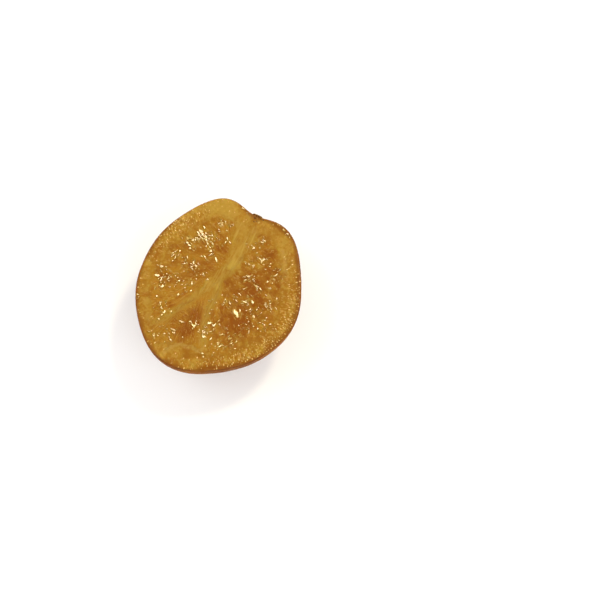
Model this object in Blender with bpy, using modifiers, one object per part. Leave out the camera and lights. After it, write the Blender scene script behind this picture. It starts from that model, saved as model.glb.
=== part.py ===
"""Half of a small orange, cut from the stem end to the blossom end, lying on its round back.

The cut face looks up and the stem dimple is at +Y. The fruit is one solid: a sphere that a few
waves and the stem dimple make into a lopsided orange, with the upper half taken away by a
knife cut. The underside of that cut carries the relief of the cut face: a flat rim of peel, the
pith column, the membranes, and the juice sacs that bulge between them. The dry stem button is
the only other piece, and it sits in its own shallow seat in the dimple.
"""

import math

import bmesh
import bpy
import numpy as np

# Fruit, in metres and degrees. Angles on the cut face run from +X towards +Y.
MEAN_RADIUS = 0.0349
BACK_DEPTH = 0.0325
REST_SPOT_DEPTH = 0.0008
REST_BLOCK_SIZE = 0.030
SHAPE_WAVES = (  # waves round the outline, share of the radius, angle of a crest
    (1, 0.0295, 13.0),
    (2, 0.0810, 90.0),
    (3, 0.0250, 110.0),
    (4, 0.0230, 87.0),
    (5, 0.0060, 43.0),
    (6, 0.0023, 37.0),
    (7, 0.0060, 3.0),
)
STEM_ANGLE = 90.0
DIMPLE_DEPTH = 0.0060
DIMPLE_SPREAD = 16.0

# Low furrows on the shoulder round the dimple.
SHOULDER_RIBS = 9
SHOULDER_RIB_HEIGHT = 0.00025
SHOULDER_RIB_ANGLE = 30.0
SHOULDER_RIB_FOCUS = 6.0

# Soft lumps of the peel, which fade out towards the knife's plane.
SWELL_HEIGHT = 0.00011
SWELL_PITCH = 0.011
SWELL_WAVES = (  # shares of X, Y and Z, and a phase
    (1.0, 0.0, 0.4, 0.0),
    (0.0, 0.7, -0.6, 1.3),
    (0.5, -0.8, 0.0, 2.1),
)
SWELL_FADE = 8

# Rim of the cut face: its width follows one wave, with a few thicker and thinner places.
RIM_MEAN_WIDTH = 0.0069
RIM_WIDTH_CHANGE = 0.0009
RIM_THICKEST_ANGLE = 350.0
RIM_BUMPS = (  # how much wider, at what angle, over what spread
    (0.0014, 103.0, 10.0),
    (0.0012, 145.0, 26.0),
    (-0.0010, 200.0, 16.0),
    (-0.0036, 247.0, 8.0),
    (0.0036, 272.0, 10.0),
    (-0.0022, 304.0, 14.0),
)

# Pulp. Heights are measured from the knife's plane, which is the height of the rim.
WALL_BLEND = 0.0012
PULP_DROP = 0.0015
MEMBRANE_DROP = 0.0002
SAC_HEIGHT = 0.0015
SAC_LENGTH = 0.0088
SAC_WIDTH = 0.0035
SAC_TAPER = 0.30
SAC_SPACING = 0.74
SAC_LEAN = 14.0
SAC_FAN = 0.55
SAC_FAN_END = 1.3
SAC_TRIES = 6000
SAC_FROM_WALL = 0.0002
SAC_SEED = 11

# Pith and membranes: points on the cut face, from the middle of the fruit, and half widths.
COLUMN = ((0.0001, 0.0290), (0.0022, 0.0115), (-0.0018, 0.0010), (-0.0054, -0.0080))
COLUMN_HALF_WIDTHS = (0.0050, 0.0026, 0.0022, 0.0013)
SIDE_MEMBRANE = ((-0.0054, -0.0080), (-0.0101, -0.0164), (-0.0150, -0.0246))
LOWER_MEMBRANE = (
    (-0.0005, 0.0035),
    (0.0017, -0.0043),
    (0.0009, -0.0108),
    (0.0021, -0.0163),
    (0.0040, -0.0212),
    (0.0065, -0.0253),
)
MEMBRANE_HALF_WIDTH = 0.0009

# Stem button, turned round the dimple's axis.
BUTTON_RADIUS = 0.0023
BUTTON_THICKNESS = 0.0013
BUTTON_GAP = 0.0003
BUTTON_SINK = 0.0006
BUTTON_PROFILE = (  # shares of the radius and of the thickness
    (0.0, 1.0),
    (0.35, 0.82),
    (0.62, 1.0),
    (0.92, 0.72),
    (1.0, 0.35),
)
BUTTON_FOOT = 0.94

# Mesh fineness and tolerances.
SPHERE_SEGMENTS = 84
SPHERE_RINGS = 44
FACE_STEP = 0.00082
BUTTON_STEPS = 28
MERGE_DISTANCE = 0.00001
FLAT_ANGLE = 0.01
LEVEL_WITHIN = 1e-8
FAR_AWAY = 1.0
KNIFE_HALF_WIDTH = 0.0425
KNIFE_RISE = 0.040

PEEL_COLOUR = (0.48, 0.19, 0.030, 1.0)
PEEL_ROUGHNESS = 0.3
BUTTON_COLOUR = (0.075, 0.045, 0.016, 1.0)
BUTTON_ROUGHNESS = 0.8


def clear_scene():
    for obj in list(bpy.data.objects):
        bpy.data.objects.remove(obj, do_unlink=True)


def collection(name):
    made = bpy.data.collections.new(name)
    bpy.context.scene.collection.children.link(made)
    return made


def material(name, colour, roughness):
    made = bpy.data.materials.new(name)
    made.use_nodes = True
    shader = made.node_tree.nodes["Principled BSDF"]
    shader.inputs["Base Color"].default_value = colour
    shader.inputs["Roughness"].default_value = roughness
    shader.inputs["Metallic"].default_value = 0.0
    return made


def object_from(builder, name, group, finish=None):
    mesh = bpy.data.meshes.new(name)
    builder.to_mesh(mesh)
    builder.free()
    made = bpy.data.objects.new(name, mesh)
    group.objects.link(made)
    if finish:
        mesh.materials.append(finish)
    return made


def smooth_step(value):
    t = np.clip(value, 0.0, 1.0)
    return t * t * (3.0 - 2.0 * t)


def bell(value):
    return np.exp(-(value**2))


# Fruit body


def outline_radius(angle):
    """Radius of the fruit in the knife's plane, before the stem dimple."""
    radius = np.full(np.shape(angle), MEAN_RADIUS)
    for waves, share, crest in SHAPE_WAVES:
        radius += MEAN_RADIUS * share * np.cos(waves * (angle - math.radians(crest)))
    return radius


def dimple(stem_turn):
    """How far the skin sinks at this angle from the stem's direction."""
    return DIMPLE_DEPTH * bell(stem_turn / math.radians(DIMPLE_SPREAD))


def shoulder_ribs(stem_turn, around_stem):
    """Low furrows that run out from the dimple over the shoulder."""
    from_shoulder = stem_turn / math.radians(SHOULDER_RIB_ANGLE) - 1.0
    on_shoulder = np.exp(-SHOULDER_RIB_FOCUS * from_shoulder**2)
    return SHOULDER_RIB_HEIGHT * on_shoulder * np.cos(SHOULDER_RIBS * around_stem)


def skin_swell(point):
    """Soft lumps of the peel, as a sum of slanting waves."""
    turn = 2.0 * math.pi / SWELL_PITCH
    return SWELL_HEIGHT * sum(np.sin(turn * point @ (a, b, c) + phase) for a, b, c, phase in SWELL_WAVES)


def skin_point(direction):
    """Points of the skin for unit directions from the fruit's middle, as rows of X, Y and Z."""
    x, y, z = direction.T
    stem = math.radians(STEM_ANGLE)
    along_stem = x * math.cos(stem) + y * math.sin(stem)
    across_stem = x * math.sin(stem) - y * math.cos(stem)
    stem_turn = np.arccos(np.clip(along_stem, -1.0, 1.0))
    around_stem = np.arctan2(z, across_stem)
    radius = outline_radius(np.arctan2(y, x))
    base = np.column_stack((radius * x, radius * y, BACK_DEPTH * z))
    swell = skin_swell(base) * (1.0 - np.hypot(x, y) ** SWELL_FADE)
    out = swell + shoulder_ribs(stem_turn, around_stem) - dimple(stem_turn)
    return base + direction * out[:, None]


def face_radius(angle):
    """Radius of the cut face with the dimple."""
    level = np.column_stack((np.cos(angle), np.sin(angle), np.zeros_like(angle)))
    return np.linalg.norm(skin_point(level)[:, :2], axis=1)


def fruit_body(group, finish):
    """The whole fruit: a sphere with its poles on the stem's line, pushed out to the skin."""
    builder = bmesh.new()
    bmesh.ops.create_uvsphere(builder, u_segments=SPHERE_SEGMENTS, v_segments=SPHERE_RINGS, radius=1.0)
    for vertex in builder.verts:
        x, y, z = vertex.co
        vertex.co = (x, z, -y)
    directions = np.array([vertex.co.normalized() for vertex in builder.verts])
    for vertex, place in zip(builder.verts, skin_point(directions)):
        vertex.co = place
    bmesh.ops.triangulate(builder, faces=builder.faces)
    body = object_from(builder, "orange_half", group, finish)
    body.data.shade_smooth()
    return body


# Cut face


def distance_to_stroke(x, y, points, half_widths):
    """Distance from the edge of a drawn stroke, negative inside it."""
    best = np.full(x.shape, FAR_AWAY)
    for (x0, y0), (x1, y1), w0, w1 in zip(points, points[1:], half_widths, half_widths[1:]):
        run_x, run_y = x1 - x0, y1 - y0
        share = np.clip(((x - x0) * run_x + (y - y0) * run_y) / (run_x**2 + run_y**2), 0.0, 1.0)
        gap = np.hypot(x - x0 - share * run_x, y - y0 - share * run_y)
        best = np.minimum(best, gap - (w0 + share * (w1 - w0)))
    return best


def rim_width(angle):
    """Width of the peel on the cut face."""
    width = RIM_MEAN_WIDTH + RIM_WIDTH_CHANGE * np.cos(angle - math.radians(RIM_THICKEST_ANGLE))
    for wider, middle, spread in RIM_BUMPS:
        turn = np.angle(np.exp(1j * (angle - math.radians(middle))))
        width = width + wider * bell(turn / math.radians(spread))
    return width


def wall_distance(x, y):
    """Distances into the pulp from the rim or column, and from the nearest membrane."""
    angle = np.arctan2(y, x)
    rim = face_radius(angle) - rim_width(angle) - np.hypot(x, y)
    column = distance_to_stroke(x, y, COLUMN, COLUMN_HALF_WIDTHS)
    side = distance_to_stroke(x, y, SIDE_MEMBRANE, (MEMBRANE_HALF_WIDTH,) * len(SIDE_MEMBRANE))
    lower = distance_to_stroke(x, y, LOWER_MEMBRANE, (MEMBRANE_HALF_WIDTH,) * len(LOWER_MEMBRANE))
    return np.minimum(rim, column), np.minimum(side, lower)


def sac_direction(x, y):
    """Unit direction of a juice sac: out from the column, fanning open at its ends."""
    start_x, start_y = COLUMN[0]
    end_x, end_y = COLUMN[-1]
    run_x, run_y = end_x - start_x, end_y - start_y
    share = ((x - start_x) * run_x + (y - start_y) * run_y) / (run_x**2 + run_y**2)
    share = 0.5 + SAC_FAN * (np.clip(share, 0.0, SAC_FAN_END) - 0.5)
    out_x, out_y = x - start_x - share * run_x, y - start_y - share * run_y
    length = np.hypot(out_x, out_y)
    return out_x / length, out_y / length


def sac_reach(dx, dy, way):
    """Distance from a sac's middle as a share of its drop-shaped outline."""
    along = (dx * way[0] + dy * way[1]) / (SAC_LENGTH / 2.0)
    across = (dy * way[0] - dx * way[1]) / (SAC_WIDTH / 2.0)
    plump = 1.0 + SAC_TAPER * np.clip(along, -1.0, 1.0)
    return np.sqrt(along**2 + (across / plump) ** 2)


def sac_places():
    """Seeded places of the sacs, each with its direction, kept a sac's breadth apart."""
    random = np.random.RandomState(SAC_SEED)
    placed = []
    for _ in range(SAC_TRIES):
        x, y = random.uniform(-MEAN_RADIUS, MEAN_RADIUS, 2)
        lean = math.radians(random.normal(0.0, SAC_LEAN))
        if np.min(wall_distance(np.array([x]), np.array([y]))) < SAC_FROM_WALL:
            continue
        out_x, out_y = sac_direction(x, y)
        turned_x = out_x * math.cos(lean) - out_y * math.sin(lean)
        turned_y = out_x * math.sin(lean) + out_y * math.cos(lean)
        if all(sac_reach(x - px, y - py, way) > SAC_SPACING for px, py, way in placed):
            placed.append((x, y, (turned_x, turned_y)))
    return placed


def face_height(x, y):
    """Height of the cut face at each point, zero on the rim."""
    thick_wall, thin_wall = wall_distance(x, y)
    in_pulp = smooth_step(np.minimum(thick_wall, thin_wall) / WALL_BLEND)
    on_membrane = smooth_step(-thin_wall / MEMBRANE_HALF_WIDTH) * smooth_step(thick_wall / WALL_BLEND)
    sacs = np.zeros_like(x)
    for px, py, way in sac_places():
        reach = sac_reach(x - px, y - py, way)
        sacs = np.maximum(sacs, np.sqrt(np.clip(1.0 - reach**2, 0.0, 1.0)))
    return in_pulp * (SAC_HEIGHT * sacs - PULP_DROP) - MEMBRANE_DROP * on_membrane


def merge_flat(builder, height):
    """Joins the faces that all lie level at this height into few large ones."""
    level = [face for face in builder.faces if all(abs(v.co.z - height) < LEVEL_WITHIN for v in face.verts)]
    edges = {edge for face in level for edge in face.edges}
    verts = {vertex for face in level for vertex in face.verts}
    bmesh.ops.dissolve_limit(builder, angle_limit=FLAT_ANGLE, verts=list(verts), edges=list(edges))


def knife_cut(group):
    """A block over the fruit whose underside is the cut face."""
    cells = round(2.0 * KNIFE_HALF_WIDTH / FACE_STEP)
    builder = bmesh.new()
    bmesh.ops.create_grid(builder, x_segments=cells, y_segments=cells, size=KNIFE_HALF_WIDTH)
    places = np.array([vertex.co for vertex in builder.verts])
    for vertex, height in zip(builder.verts, face_height(places[:, 0], places[:, 1])):
        vertex.co.z = height
    merge_flat(builder, 0.0)
    raised = bmesh.ops.extrude_face_region(builder, geom=list(builder.faces))
    for item in raised["geom"]:
        if isinstance(item, bmesh.types.BMVert):
            item.co.z = KNIFE_RISE
    merge_flat(builder, KNIFE_RISE)
    bmesh.ops.recalc_face_normals(builder, faces=builder.faces)
    bmesh.ops.triangulate(builder, faces=builder.faces)
    return cutter(object_from(builder, "knife_cut", group))


def cutter(obj):
    obj.hide_render = True
    obj.display_type = "WIRE"
    return obj


def cut_away(body, tool):
    made = body.modifiers.new(tool.name, "BOOLEAN")
    made.operation = "DIFFERENCE"
    made.object = tool


def rest_block(group):
    """A block under the fruit that leaves the small flat spot it rests on."""
    builder = bmesh.new()
    bmesh.ops.create_cube(builder, size=REST_BLOCK_SIZE)
    block = cutter(object_from(builder, "rest_block", group))
    block.location.z = -BACK_DEPTH + REST_SPOT_DEPTH - REST_BLOCK_SIZE / 2.0
    return block


# Stem button


def dimple_floor():
    """Distance of the dimple's floor from the fruit's middle."""
    return face_radius(np.array([math.radians(STEM_ANGLE)]))[0]


def button_shape(name, group, grow, finish=None):
    """A low turned button in the dimple. A positive grow makes the cutter for its seat."""
    radius = BUTTON_RADIUS + grow
    profile = [(radius * out, BUTTON_THICKNESS * up) for out, up in BUTTON_PROFILE]
    profile += [(radius * BUTTON_FOOT, -grow), (0.0, -grow)]
    builder = bmesh.new()
    corners = [builder.verts.new((out, 0.0, up)) for out, up in profile]
    for start, end in zip(corners, corners[1:]):
        builder.edges.new((start, end))
    made = object_from(builder, name, group, finish)
    screw = made.modifiers.new("turn", "SCREW")
    screw.axis = "Z"
    screw.angle = 2.0 * math.pi
    screw.steps = screw.render_steps = BUTTON_STEPS
    screw.use_merge_vertices = True
    screw.merge_threshold = MERGE_DISTANCE
    screw.use_normal_calculate = True
    made.rotation_euler.x = -math.pi / 2.0
    made.location.y = dimple_floor() - BUTTON_SINK
    return made


def lift_to_rest(body, tools):
    """Moves the pieces so that the flat spot is at Z = 0 and the half's middle is over the origin."""
    half = np.array([vertex.co for vertex in body.data.vertices if vertex.co.z < LEVEL_WITHIN])
    middle_x, middle_y, _ = (half.min(axis=0) + half.max(axis=0)) / 2.0
    for obj in (body, *tools):
        obj.location.x -= middle_x
        obj.location.y -= middle_y
        obj.location.z += BACK_DEPTH - REST_SPOT_DEPTH


def main():
    clear_scene()
    parts = collection("orange_half")
    cutters = collection("cutters")
    body = fruit_body(parts, material("peel_and_pulp", PEEL_COLOUR, PEEL_ROUGHNESS))
    button = button_shape("stem_button", parts, 0.0, material("stem_button", BUTTON_COLOUR, BUTTON_ROUGHNESS))
    seat = cutter(button_shape("button_seat", cutters, BUTTON_GAP))
    knife = knife_cut(cutters)
    rest = rest_block(cutters)
    for tool in (seat, knife, rest):
        cut_away(body, tool)
    cut_away(button, knife)
    lift_to_rest(body, (button, seat, knife, rest))


main()
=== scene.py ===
# %% [markdown]
# # Half an orange, soaked in syrup
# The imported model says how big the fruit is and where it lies. It is loaded first, because every
# piece is fitted to it. Each pair of cells below makes one piece or one finish: first what it is on
# the real fruit and how it could be made, then the code.

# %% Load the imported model
import math

import bmesh
import bpy
import numpy as np
from mathutils import Matrix, Vector


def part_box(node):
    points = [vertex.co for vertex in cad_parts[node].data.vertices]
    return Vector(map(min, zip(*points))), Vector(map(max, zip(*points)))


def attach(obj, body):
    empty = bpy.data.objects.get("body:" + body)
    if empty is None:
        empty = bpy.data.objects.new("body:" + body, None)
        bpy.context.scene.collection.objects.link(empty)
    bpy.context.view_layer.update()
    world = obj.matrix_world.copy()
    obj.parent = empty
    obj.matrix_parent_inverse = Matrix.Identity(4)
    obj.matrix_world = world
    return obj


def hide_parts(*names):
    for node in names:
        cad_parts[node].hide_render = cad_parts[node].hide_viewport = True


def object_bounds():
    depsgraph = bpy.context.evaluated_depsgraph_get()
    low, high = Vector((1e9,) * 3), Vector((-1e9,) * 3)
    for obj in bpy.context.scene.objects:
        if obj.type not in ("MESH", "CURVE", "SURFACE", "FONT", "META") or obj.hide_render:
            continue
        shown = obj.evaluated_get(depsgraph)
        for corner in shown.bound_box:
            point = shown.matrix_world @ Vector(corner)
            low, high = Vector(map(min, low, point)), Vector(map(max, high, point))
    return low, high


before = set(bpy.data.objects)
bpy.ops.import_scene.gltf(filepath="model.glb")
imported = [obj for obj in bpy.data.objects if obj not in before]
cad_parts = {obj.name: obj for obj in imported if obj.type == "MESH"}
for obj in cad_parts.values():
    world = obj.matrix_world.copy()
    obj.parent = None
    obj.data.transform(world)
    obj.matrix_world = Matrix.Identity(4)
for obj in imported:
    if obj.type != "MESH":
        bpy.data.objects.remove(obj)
cad_low, cad_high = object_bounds()
MM = 0.001
print("packed nodes:", sorted(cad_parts))
print("packed size in mm:", [round(side / MM, 1) for side in cad_high - cad_low])

# %% [markdown]
# ## A bench for node trees
# Materials and Geometry Nodes are both trees of nodes. A tree could be built by hand in the editor,
# but a script keeps its sizes readable. One method adds any node, and a small class wraps a socket,
# so that a formula on sockets is written as a formula and adds its Math nodes by itself.


# %% A bench for node trees
class Wire:
    """A node's output. Operators on it add Math nodes."""

    def __init__(self, bench, socket):
        self.bench = bench
        self.socket = socket

    def maths(self, operation, first, second=0.0):
        return self.bench.node("ShaderNodeMath", {"operation": operation}, {0: first, 1: second})

    def __add__(self, other):
        return self.maths("ADD", self, other)

    def __sub__(self, other):
        return self.maths("SUBTRACT", self, other)

    def __rsub__(self, other):
        return self.maths("SUBTRACT", other, self)

    def __mul__(self, other):
        return self.maths("MULTIPLY", self, other)

    def __rtruediv__(self, other):
        return self.maths("DIVIDE", other, self)

    def __gt__(self, other):
        return self.maths("GREATER_THAN", self, other)

    def fade(self, none, full):
        """0 where the value is none, 1 where it is full, and a smooth step between them."""
        settings = {"interpolation_type": "SMOOTHSTEP"}
        return self.bench.node("ShaderNodeMapRange", settings, {0: self, 1: none, 2: full})


class Bench:
    """Builds one node tree."""

    def __init__(self, tree):
        self.tree = tree

    def node(self, kind, settings=(), sockets=(), out=0):
        made = self.tree.nodes.new(kind)
        for name, value in dict(settings).items():
            setattr(made, name, value)
        self.fill(made, dict(sockets))
        return Wire(self, made.outputs[out])

    def fill(self, node, sockets):
        """Sets or links inputs of a node."""
        for key, value in sockets.items():
            self.plug(node.inputs[key], value)

    def plug(self, socket, value):
        if isinstance(value, list):
            for one in value:
                self.plug(socket, one)
        elif isinstance(value, Wire):
            self.tree.links.new(value.socket, socket)
        else:
            socket.default_value = value

    def vector(self, operation, first, second=(0.0, 0.0, 0.0)):
        return self.node("ShaderNodeVectorMath", {"operation": operation}, {0: first, 1: second})

    def scaled(self, vector, factor):
        return self.node("ShaderNodeVectorMath", {"operation": "SCALE"}, {"Vector": vector, "Scale": factor})

    def axis(self, vector, letter):
        """One axis of a vector, as a number."""
        return self.node("ShaderNodeSeparateXYZ", {}, {0: vector}, letter)

    def joined(self, x, y, z):
        """A vector from three numbers."""
        return self.node("ShaderNodeCombineXYZ", {}, {0: x, 1: y, 2: z})

    def stored(self, label, kind="FLOAT"):
        """What a Geometry Nodes tree reads back from the mesh's points."""
        return self.node("GeometryNodeInputNamedAttribute", {"data_type": kind}, {"Name": label})

    def store(self, geometry, label, value, domain):
        """Keeps a number on the mesh, or on its copies."""
        settings = {"data_type": "FLOAT", "domain": domain}
        sockets = {"Geometry": geometry, "Name": label, "Value": value}
        return self.node("GeometryNodeStoreNamedAttribute", settings, sockets)

    def random(self, low, high, seed, **more):
        """A random number for each point."""
        sockets = {2: low, 3: high, "Seed": seed, **more}
        return self.node("FunctionNodeRandomValue", {"data_type": "FLOAT"}, sockets, out=1)

    def random_vector(self, low, high, seed):
        """Three random numbers for each point."""
        sockets = {0: low, 1: high, "Seed": seed}
        return self.node("FunctionNodeRandomValue", {"data_type": "FLOAT_VECTOR"}, sockets)

    def aim(self, first, second, along, across):
        """The turn that lays one axis along a direction and another as near as it can to a second."""
        settings = {"primary_axis": first, "secondary_axis": second}
        sockets = {"Primary Axis": along, "Secondary Axis": across}
        return self.node("FunctionNodeAxesToRotation", settings, sockets)

    def copies(self, points, piece, turn, size):
        """A copy of the piece on each point."""
        sockets = {"Points": points, "Instance": piece, "Rotation": turn, "Scale": size}
        return self.node("GeometryNodeInstanceOnPoints", {}, sockets)

    def moved(self, geometry, offset):
        return self.node("GeometryNodeSetPosition", {}, {"Geometry": geometry, "Offset": offset})

    def stray(self, noise, reach):
        """Coloured noise as an offset to both sides, by up to half of the reach on each axis."""
        return self.scaled(self.vector("SUBTRACT", noise, (0.5, 0.5, 0.5)), reach)

    def noise(self, vector, grain, detail=2.0, rough=0.5, out=0):
        """Noise whose grains are about this many metres wide."""
        sockets = {"Vector": vector, "Scale": 1.0 / grain, "Detail": detail, "Roughness": rough}
        return self.node("ShaderNodeTexNoise", {}, sockets, out)

    def cells(self, vector, pitch):
        """Distance to the nearest of many scattered points, in pitches."""
        return self.node("ShaderNodeTexVoronoi", {}, {"Vector": vector, "Scale": 1.0 / pitch}, "Distance")


# %% [markdown]
# ## The shape of the fruit
# An orange is nearly round. Seen on the cut, this one is longer from stem to blossom end, fuller on
# one side, and dented at the stem. A sculpted mesh could copy that once. A formula for the distance
# from the middle to the skin, in any direction, can be asked for as many points as a piece needs,
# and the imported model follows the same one.

# %% The shape of the fruit
MEAN_RADIUS = 0.0349
BACK_DEPTH = 0.0325
SHAPE_WAVES = (  # waves round the outline, share of the radius, angle of a crest
    (1, 0.0295, 13.0),
    (2, 0.0810, 90.0),
    (3, 0.0250, 110.0),
    (4, 0.0230, 87.0),
    (5, 0.0060, 43.0),
    (6, 0.0023, 37.0),
    (7, 0.0060, 3.0),
)
DIMPLE_DEPTH = 0.0060
DIMPLE_SPREAD = math.radians(16.0)
SHOULDER_RIBS = 9
SHOULDER_RIB_HEIGHT = 0.00025
SHOULDER_RIB_ANGLE = math.radians(30.0)
SHOULDER_RIB_FOCUS = 6.0
SWELL_HEIGHT = 0.00011
SWELL_PITCH = 0.011
SWELL_WAVES = ((1.0, 0.0, 0.4, 0.0), (0.0, 0.7, -0.6, 1.3), (0.5, -0.8, 0.0, 2.1))
SWELL_FADE = 8
KNIFE_HEIGHT = cad_high.z


def smooth_step(value):
    t = np.clip(value, 0.0, 1.0)
    return t * t * (3.0 - 2.0 * t)


def bell(value):
    return np.exp(-(value**2))


def bell_round(angle, middle, spread):
    """A bell round one bearing. The bearing and its spread are in degrees."""
    return bell(np.angle(np.exp(1j * (angle - math.radians(middle)))) / math.radians(spread))


def grid_quads(side):
    """The faces of a square grid with this many points a side."""
    corner = np.arange((side - 1) * side).reshape(side - 1, side)[:, :-1].ravel()
    return np.column_stack((corner, corner + 1, corner + side + 1, corner + side))


def outline_radius(angle):
    radius = np.full(np.shape(angle), MEAN_RADIUS)
    for waves, share, crest in SHAPE_WAVES:
        radius += MEAN_RADIUS * share * np.cos(waves * (angle - math.radians(crest)))
    return radius


def skin_point(direction):
    """Points of the skin for unit directions, measured from the middle of the knife's plane."""
    x, y, z = direction.T
    stem_turn = np.arccos(np.clip(y, -1.0, 1.0))
    around_stem = np.arctan2(z, x)
    radius = outline_radius(np.arctan2(y, x))
    base = np.column_stack((radius * x, radius * y, BACK_DEPTH * z))
    turn = 2.0 * math.pi / SWELL_PITCH
    swell = SWELL_HEIGHT * sum(np.sin(turn * base @ (a, b, c) + phase) for a, b, c, phase in SWELL_WAVES)
    from_shoulder = stem_turn / SHOULDER_RIB_ANGLE - 1.0
    ribs = SHOULDER_RIB_HEIGHT * np.exp(-SHOULDER_RIB_FOCUS * from_shoulder**2)
    ribs *= np.cos(SHOULDER_RIBS * around_stem)
    dimple = DIMPLE_DEPTH * bell(stem_turn / DIMPLE_SPREAD)
    out = swell * (1.0 - np.hypot(x, y) ** SWELL_FADE) + ribs - dimple
    return base + direction * out[:, None]


def face_radius(angle):
    level = np.column_stack((np.cos(angle), np.sin(angle), np.zeros_like(angle)))
    return np.linalg.norm(skin_point(level)[:, :2], axis=1)


def half_middle():
    """Middle of the box round the half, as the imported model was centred."""
    down, round_it = np.meshgrid(np.linspace(0.5, 1.0, 90) * math.pi, np.linspace(0.0, 2.0, 361) * math.pi)
    down, round_it = down.ravel(), round_it.ravel()
    flat = np.sin(down)
    points = skin_point(np.column_stack((flat * np.cos(round_it), flat * np.sin(round_it), np.cos(down))))
    return (points.min(axis=0) + points.max(axis=0))[:2] / 2.0


MIDDLE = half_middle()
print("middle of the fruit in mm:", -MIDDLE / MM)

# %% [markdown]
# The photograph is read by its pixels, so one formula turns a pixel into a point of the cut face:
# 0.3975 mm a pixel, seen 18 degrees off upright. Spots where the pulp is redder or paler, or the
# inner layer brighter or rustier, are listed by pixel too. Their places were chosen one by one, and
# their strengths matched against the photograph.

# %% Find places on the cut face from pixels of the photograph
MM_PER_PIXEL = 0.3975
VIEW_AZIMUTH = math.radians(26.0)
VIEW_ELEVATION = math.radians(72.0)
FRAME_PIXELS = 600
MIDDLE_PIXEL = (217.5, 284.5)
PHOTO_TURN = math.radians(26.7)
STAINS = (  # in the pulp: pixel across, pixel down, radius in mm, how much redder, or paler below zero
    (234.0, 323.5, 4.0, 1.0),
    (194.0, 313.5, 3.4, 0.7),
    (170.0, 304.0, 1.8, 0.8),
    (187.0, 329.0, 2.6, 0.9),
    (250.5, 290.5, 2.6, 1.0),
    (232.0, 283.0, 3.2, 0.5),
    (269.5, 252.5, 3.2, 0.6),
    (221.0, 246.0, 3.0, 0.6),
    (213.0, 264.5, 3.0, 0.6),
    (193.5, 274.0, 3.0, 0.6),
    (262.0, 300.0, 4.0, 0.5),
    (263.0, 280.0, 9.0, 0.5),
    (240.0, 318.0, 10.0, 0.6),
    (184.0, 328.0, 6.0, 0.6),
    (164.0, 339.0, 2.6, -1.6),
    (207.0, 346.0, 3.4, -0.9),
    (203.0, 333.0, 2.2, -1.2),
    (168.0, 294.0, 3.0, -0.6),
    (247.0, 262.0, 2.2, -0.8),
    (212.0, 300.0, 4.0, -0.5),
)
TONES = (  # the same for the inner layer, brighter above zero and rustier below
    (235.5, 263.5, 2.6, 1.0),
    (230.0, 268.0, 1.6, 0.6),
    (241.0, 250.0, 2.4, 0.6),
    (208.0, 282.0, 2.6, 0.7),
    (193.0, 294.0, 2.2, 0.7),
    (170.0, 308.0, 2.2, 0.4),
    (148.0, 262.0, 2.0, 0.6),
    (146.5, 275.0, 2.0, 0.7),
    (146.0, 288.0, 2.0, 0.7),
    (147.0, 301.0, 2.2, 0.8),
    (150.0, 316.0, 2.6, 0.8),
    (172.0, 349.5, 2.6, 0.6),
    (184.0, 357.0, 2.6, 0.2),
    (231.0, 357.0, 5.0, -0.4),
    (252.0, 357.0, 4.5, 0.2),
    (297.0, 280.0, 5.0, -0.4),
    (164.0, 339.0, 2.2, 0.9),
    (163.5, 352.0, 2.0, 0.7),
    (171.5, 355.0, 2.0, -0.5),
    (191.0, 363.0, 3.0, 0.5),
    (209.0, 350.0, 2.6, 0.8),
    (208.0, 365.0, 3.4, -1.0),
    (183.0, 209.0, 4.5, 0.7),
    (196.0, 202.0, 4.0, 0.7),
    (227.0, 205.0, 5.0, 1.2),
    (211.0, 203.0, 4.0, 0.5),
    (247.0, 206.0, 2.4, -0.6),
    (254.0, 223.0, 3.0, -0.5),
    (283.0, 228.0, 5.0, -0.8),
    (281.5, 244.0, 1.8, 0.7),
    (284.0, 255.0, 2.0, 0.8),
    (284.5, 266.0, 2.0, 0.8),
    (285.0, 279.0, 2.0, 0.7),
    (284.0, 292.0, 2.2, 0.5),
    (289.0, 327.0, 3.5, -0.2),
    (273.0, 347.0, 3.5, -0.2),
    (292.0, 262.0, 3.0, -0.5),
    (290.0, 300.0, 6.0, -0.4),
    (262.0, 335.0, 5.0, -0.4),
    (239.0, 345.0, 4.0, -0.6),
    (266.0, 341.0, 5.0, -0.4),
    (280.0, 322.0, 5.0, -0.3),
)


def face_place(pixel_x, pixel_y):
    """The point of the cut face that the photograph shows at this pixel, from the fruit's middle."""
    across = (pixel_x - MIDDLE_PIXEL[0]) * MM_PER_PIXEL * MM
    up = (MIDDLE_PIXEL[1] - pixel_y) / math.sin(VIEW_ELEVATION) * MM_PER_PIXEL * MM
    x = math.cos(PHOTO_TURN) * across - math.sin(PHOTO_TURN) * up
    y = math.sin(PHOTO_TURN) * across + math.cos(PHOTO_TURN) * up
    return x, y


def sum_of_spots(x, y, spots):
    """Soft round spots of given strength, added up at each point of the cut face."""
    total = np.zeros_like(x)
    for across, down, radius, strength in spots:
        spot_x, spot_y = face_place(across, down)
        total += strength * bell(np.hypot(x - spot_x, y - spot_y) / (radius * MM))
    return total


# %% [markdown]
# ## A map of the cut face
# The knife went through the peel, the pith column and two membranes, and the pockets between them
# are full of juice sacs. Several pieces need to know what lies where, so the map is a function too:
# how far a point is from the nearest wall, with thick walls (peel, column) kept apart from thin
# ones (membranes). Waves that wander by half a millimetre keep the walls from looking ruled.

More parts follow.
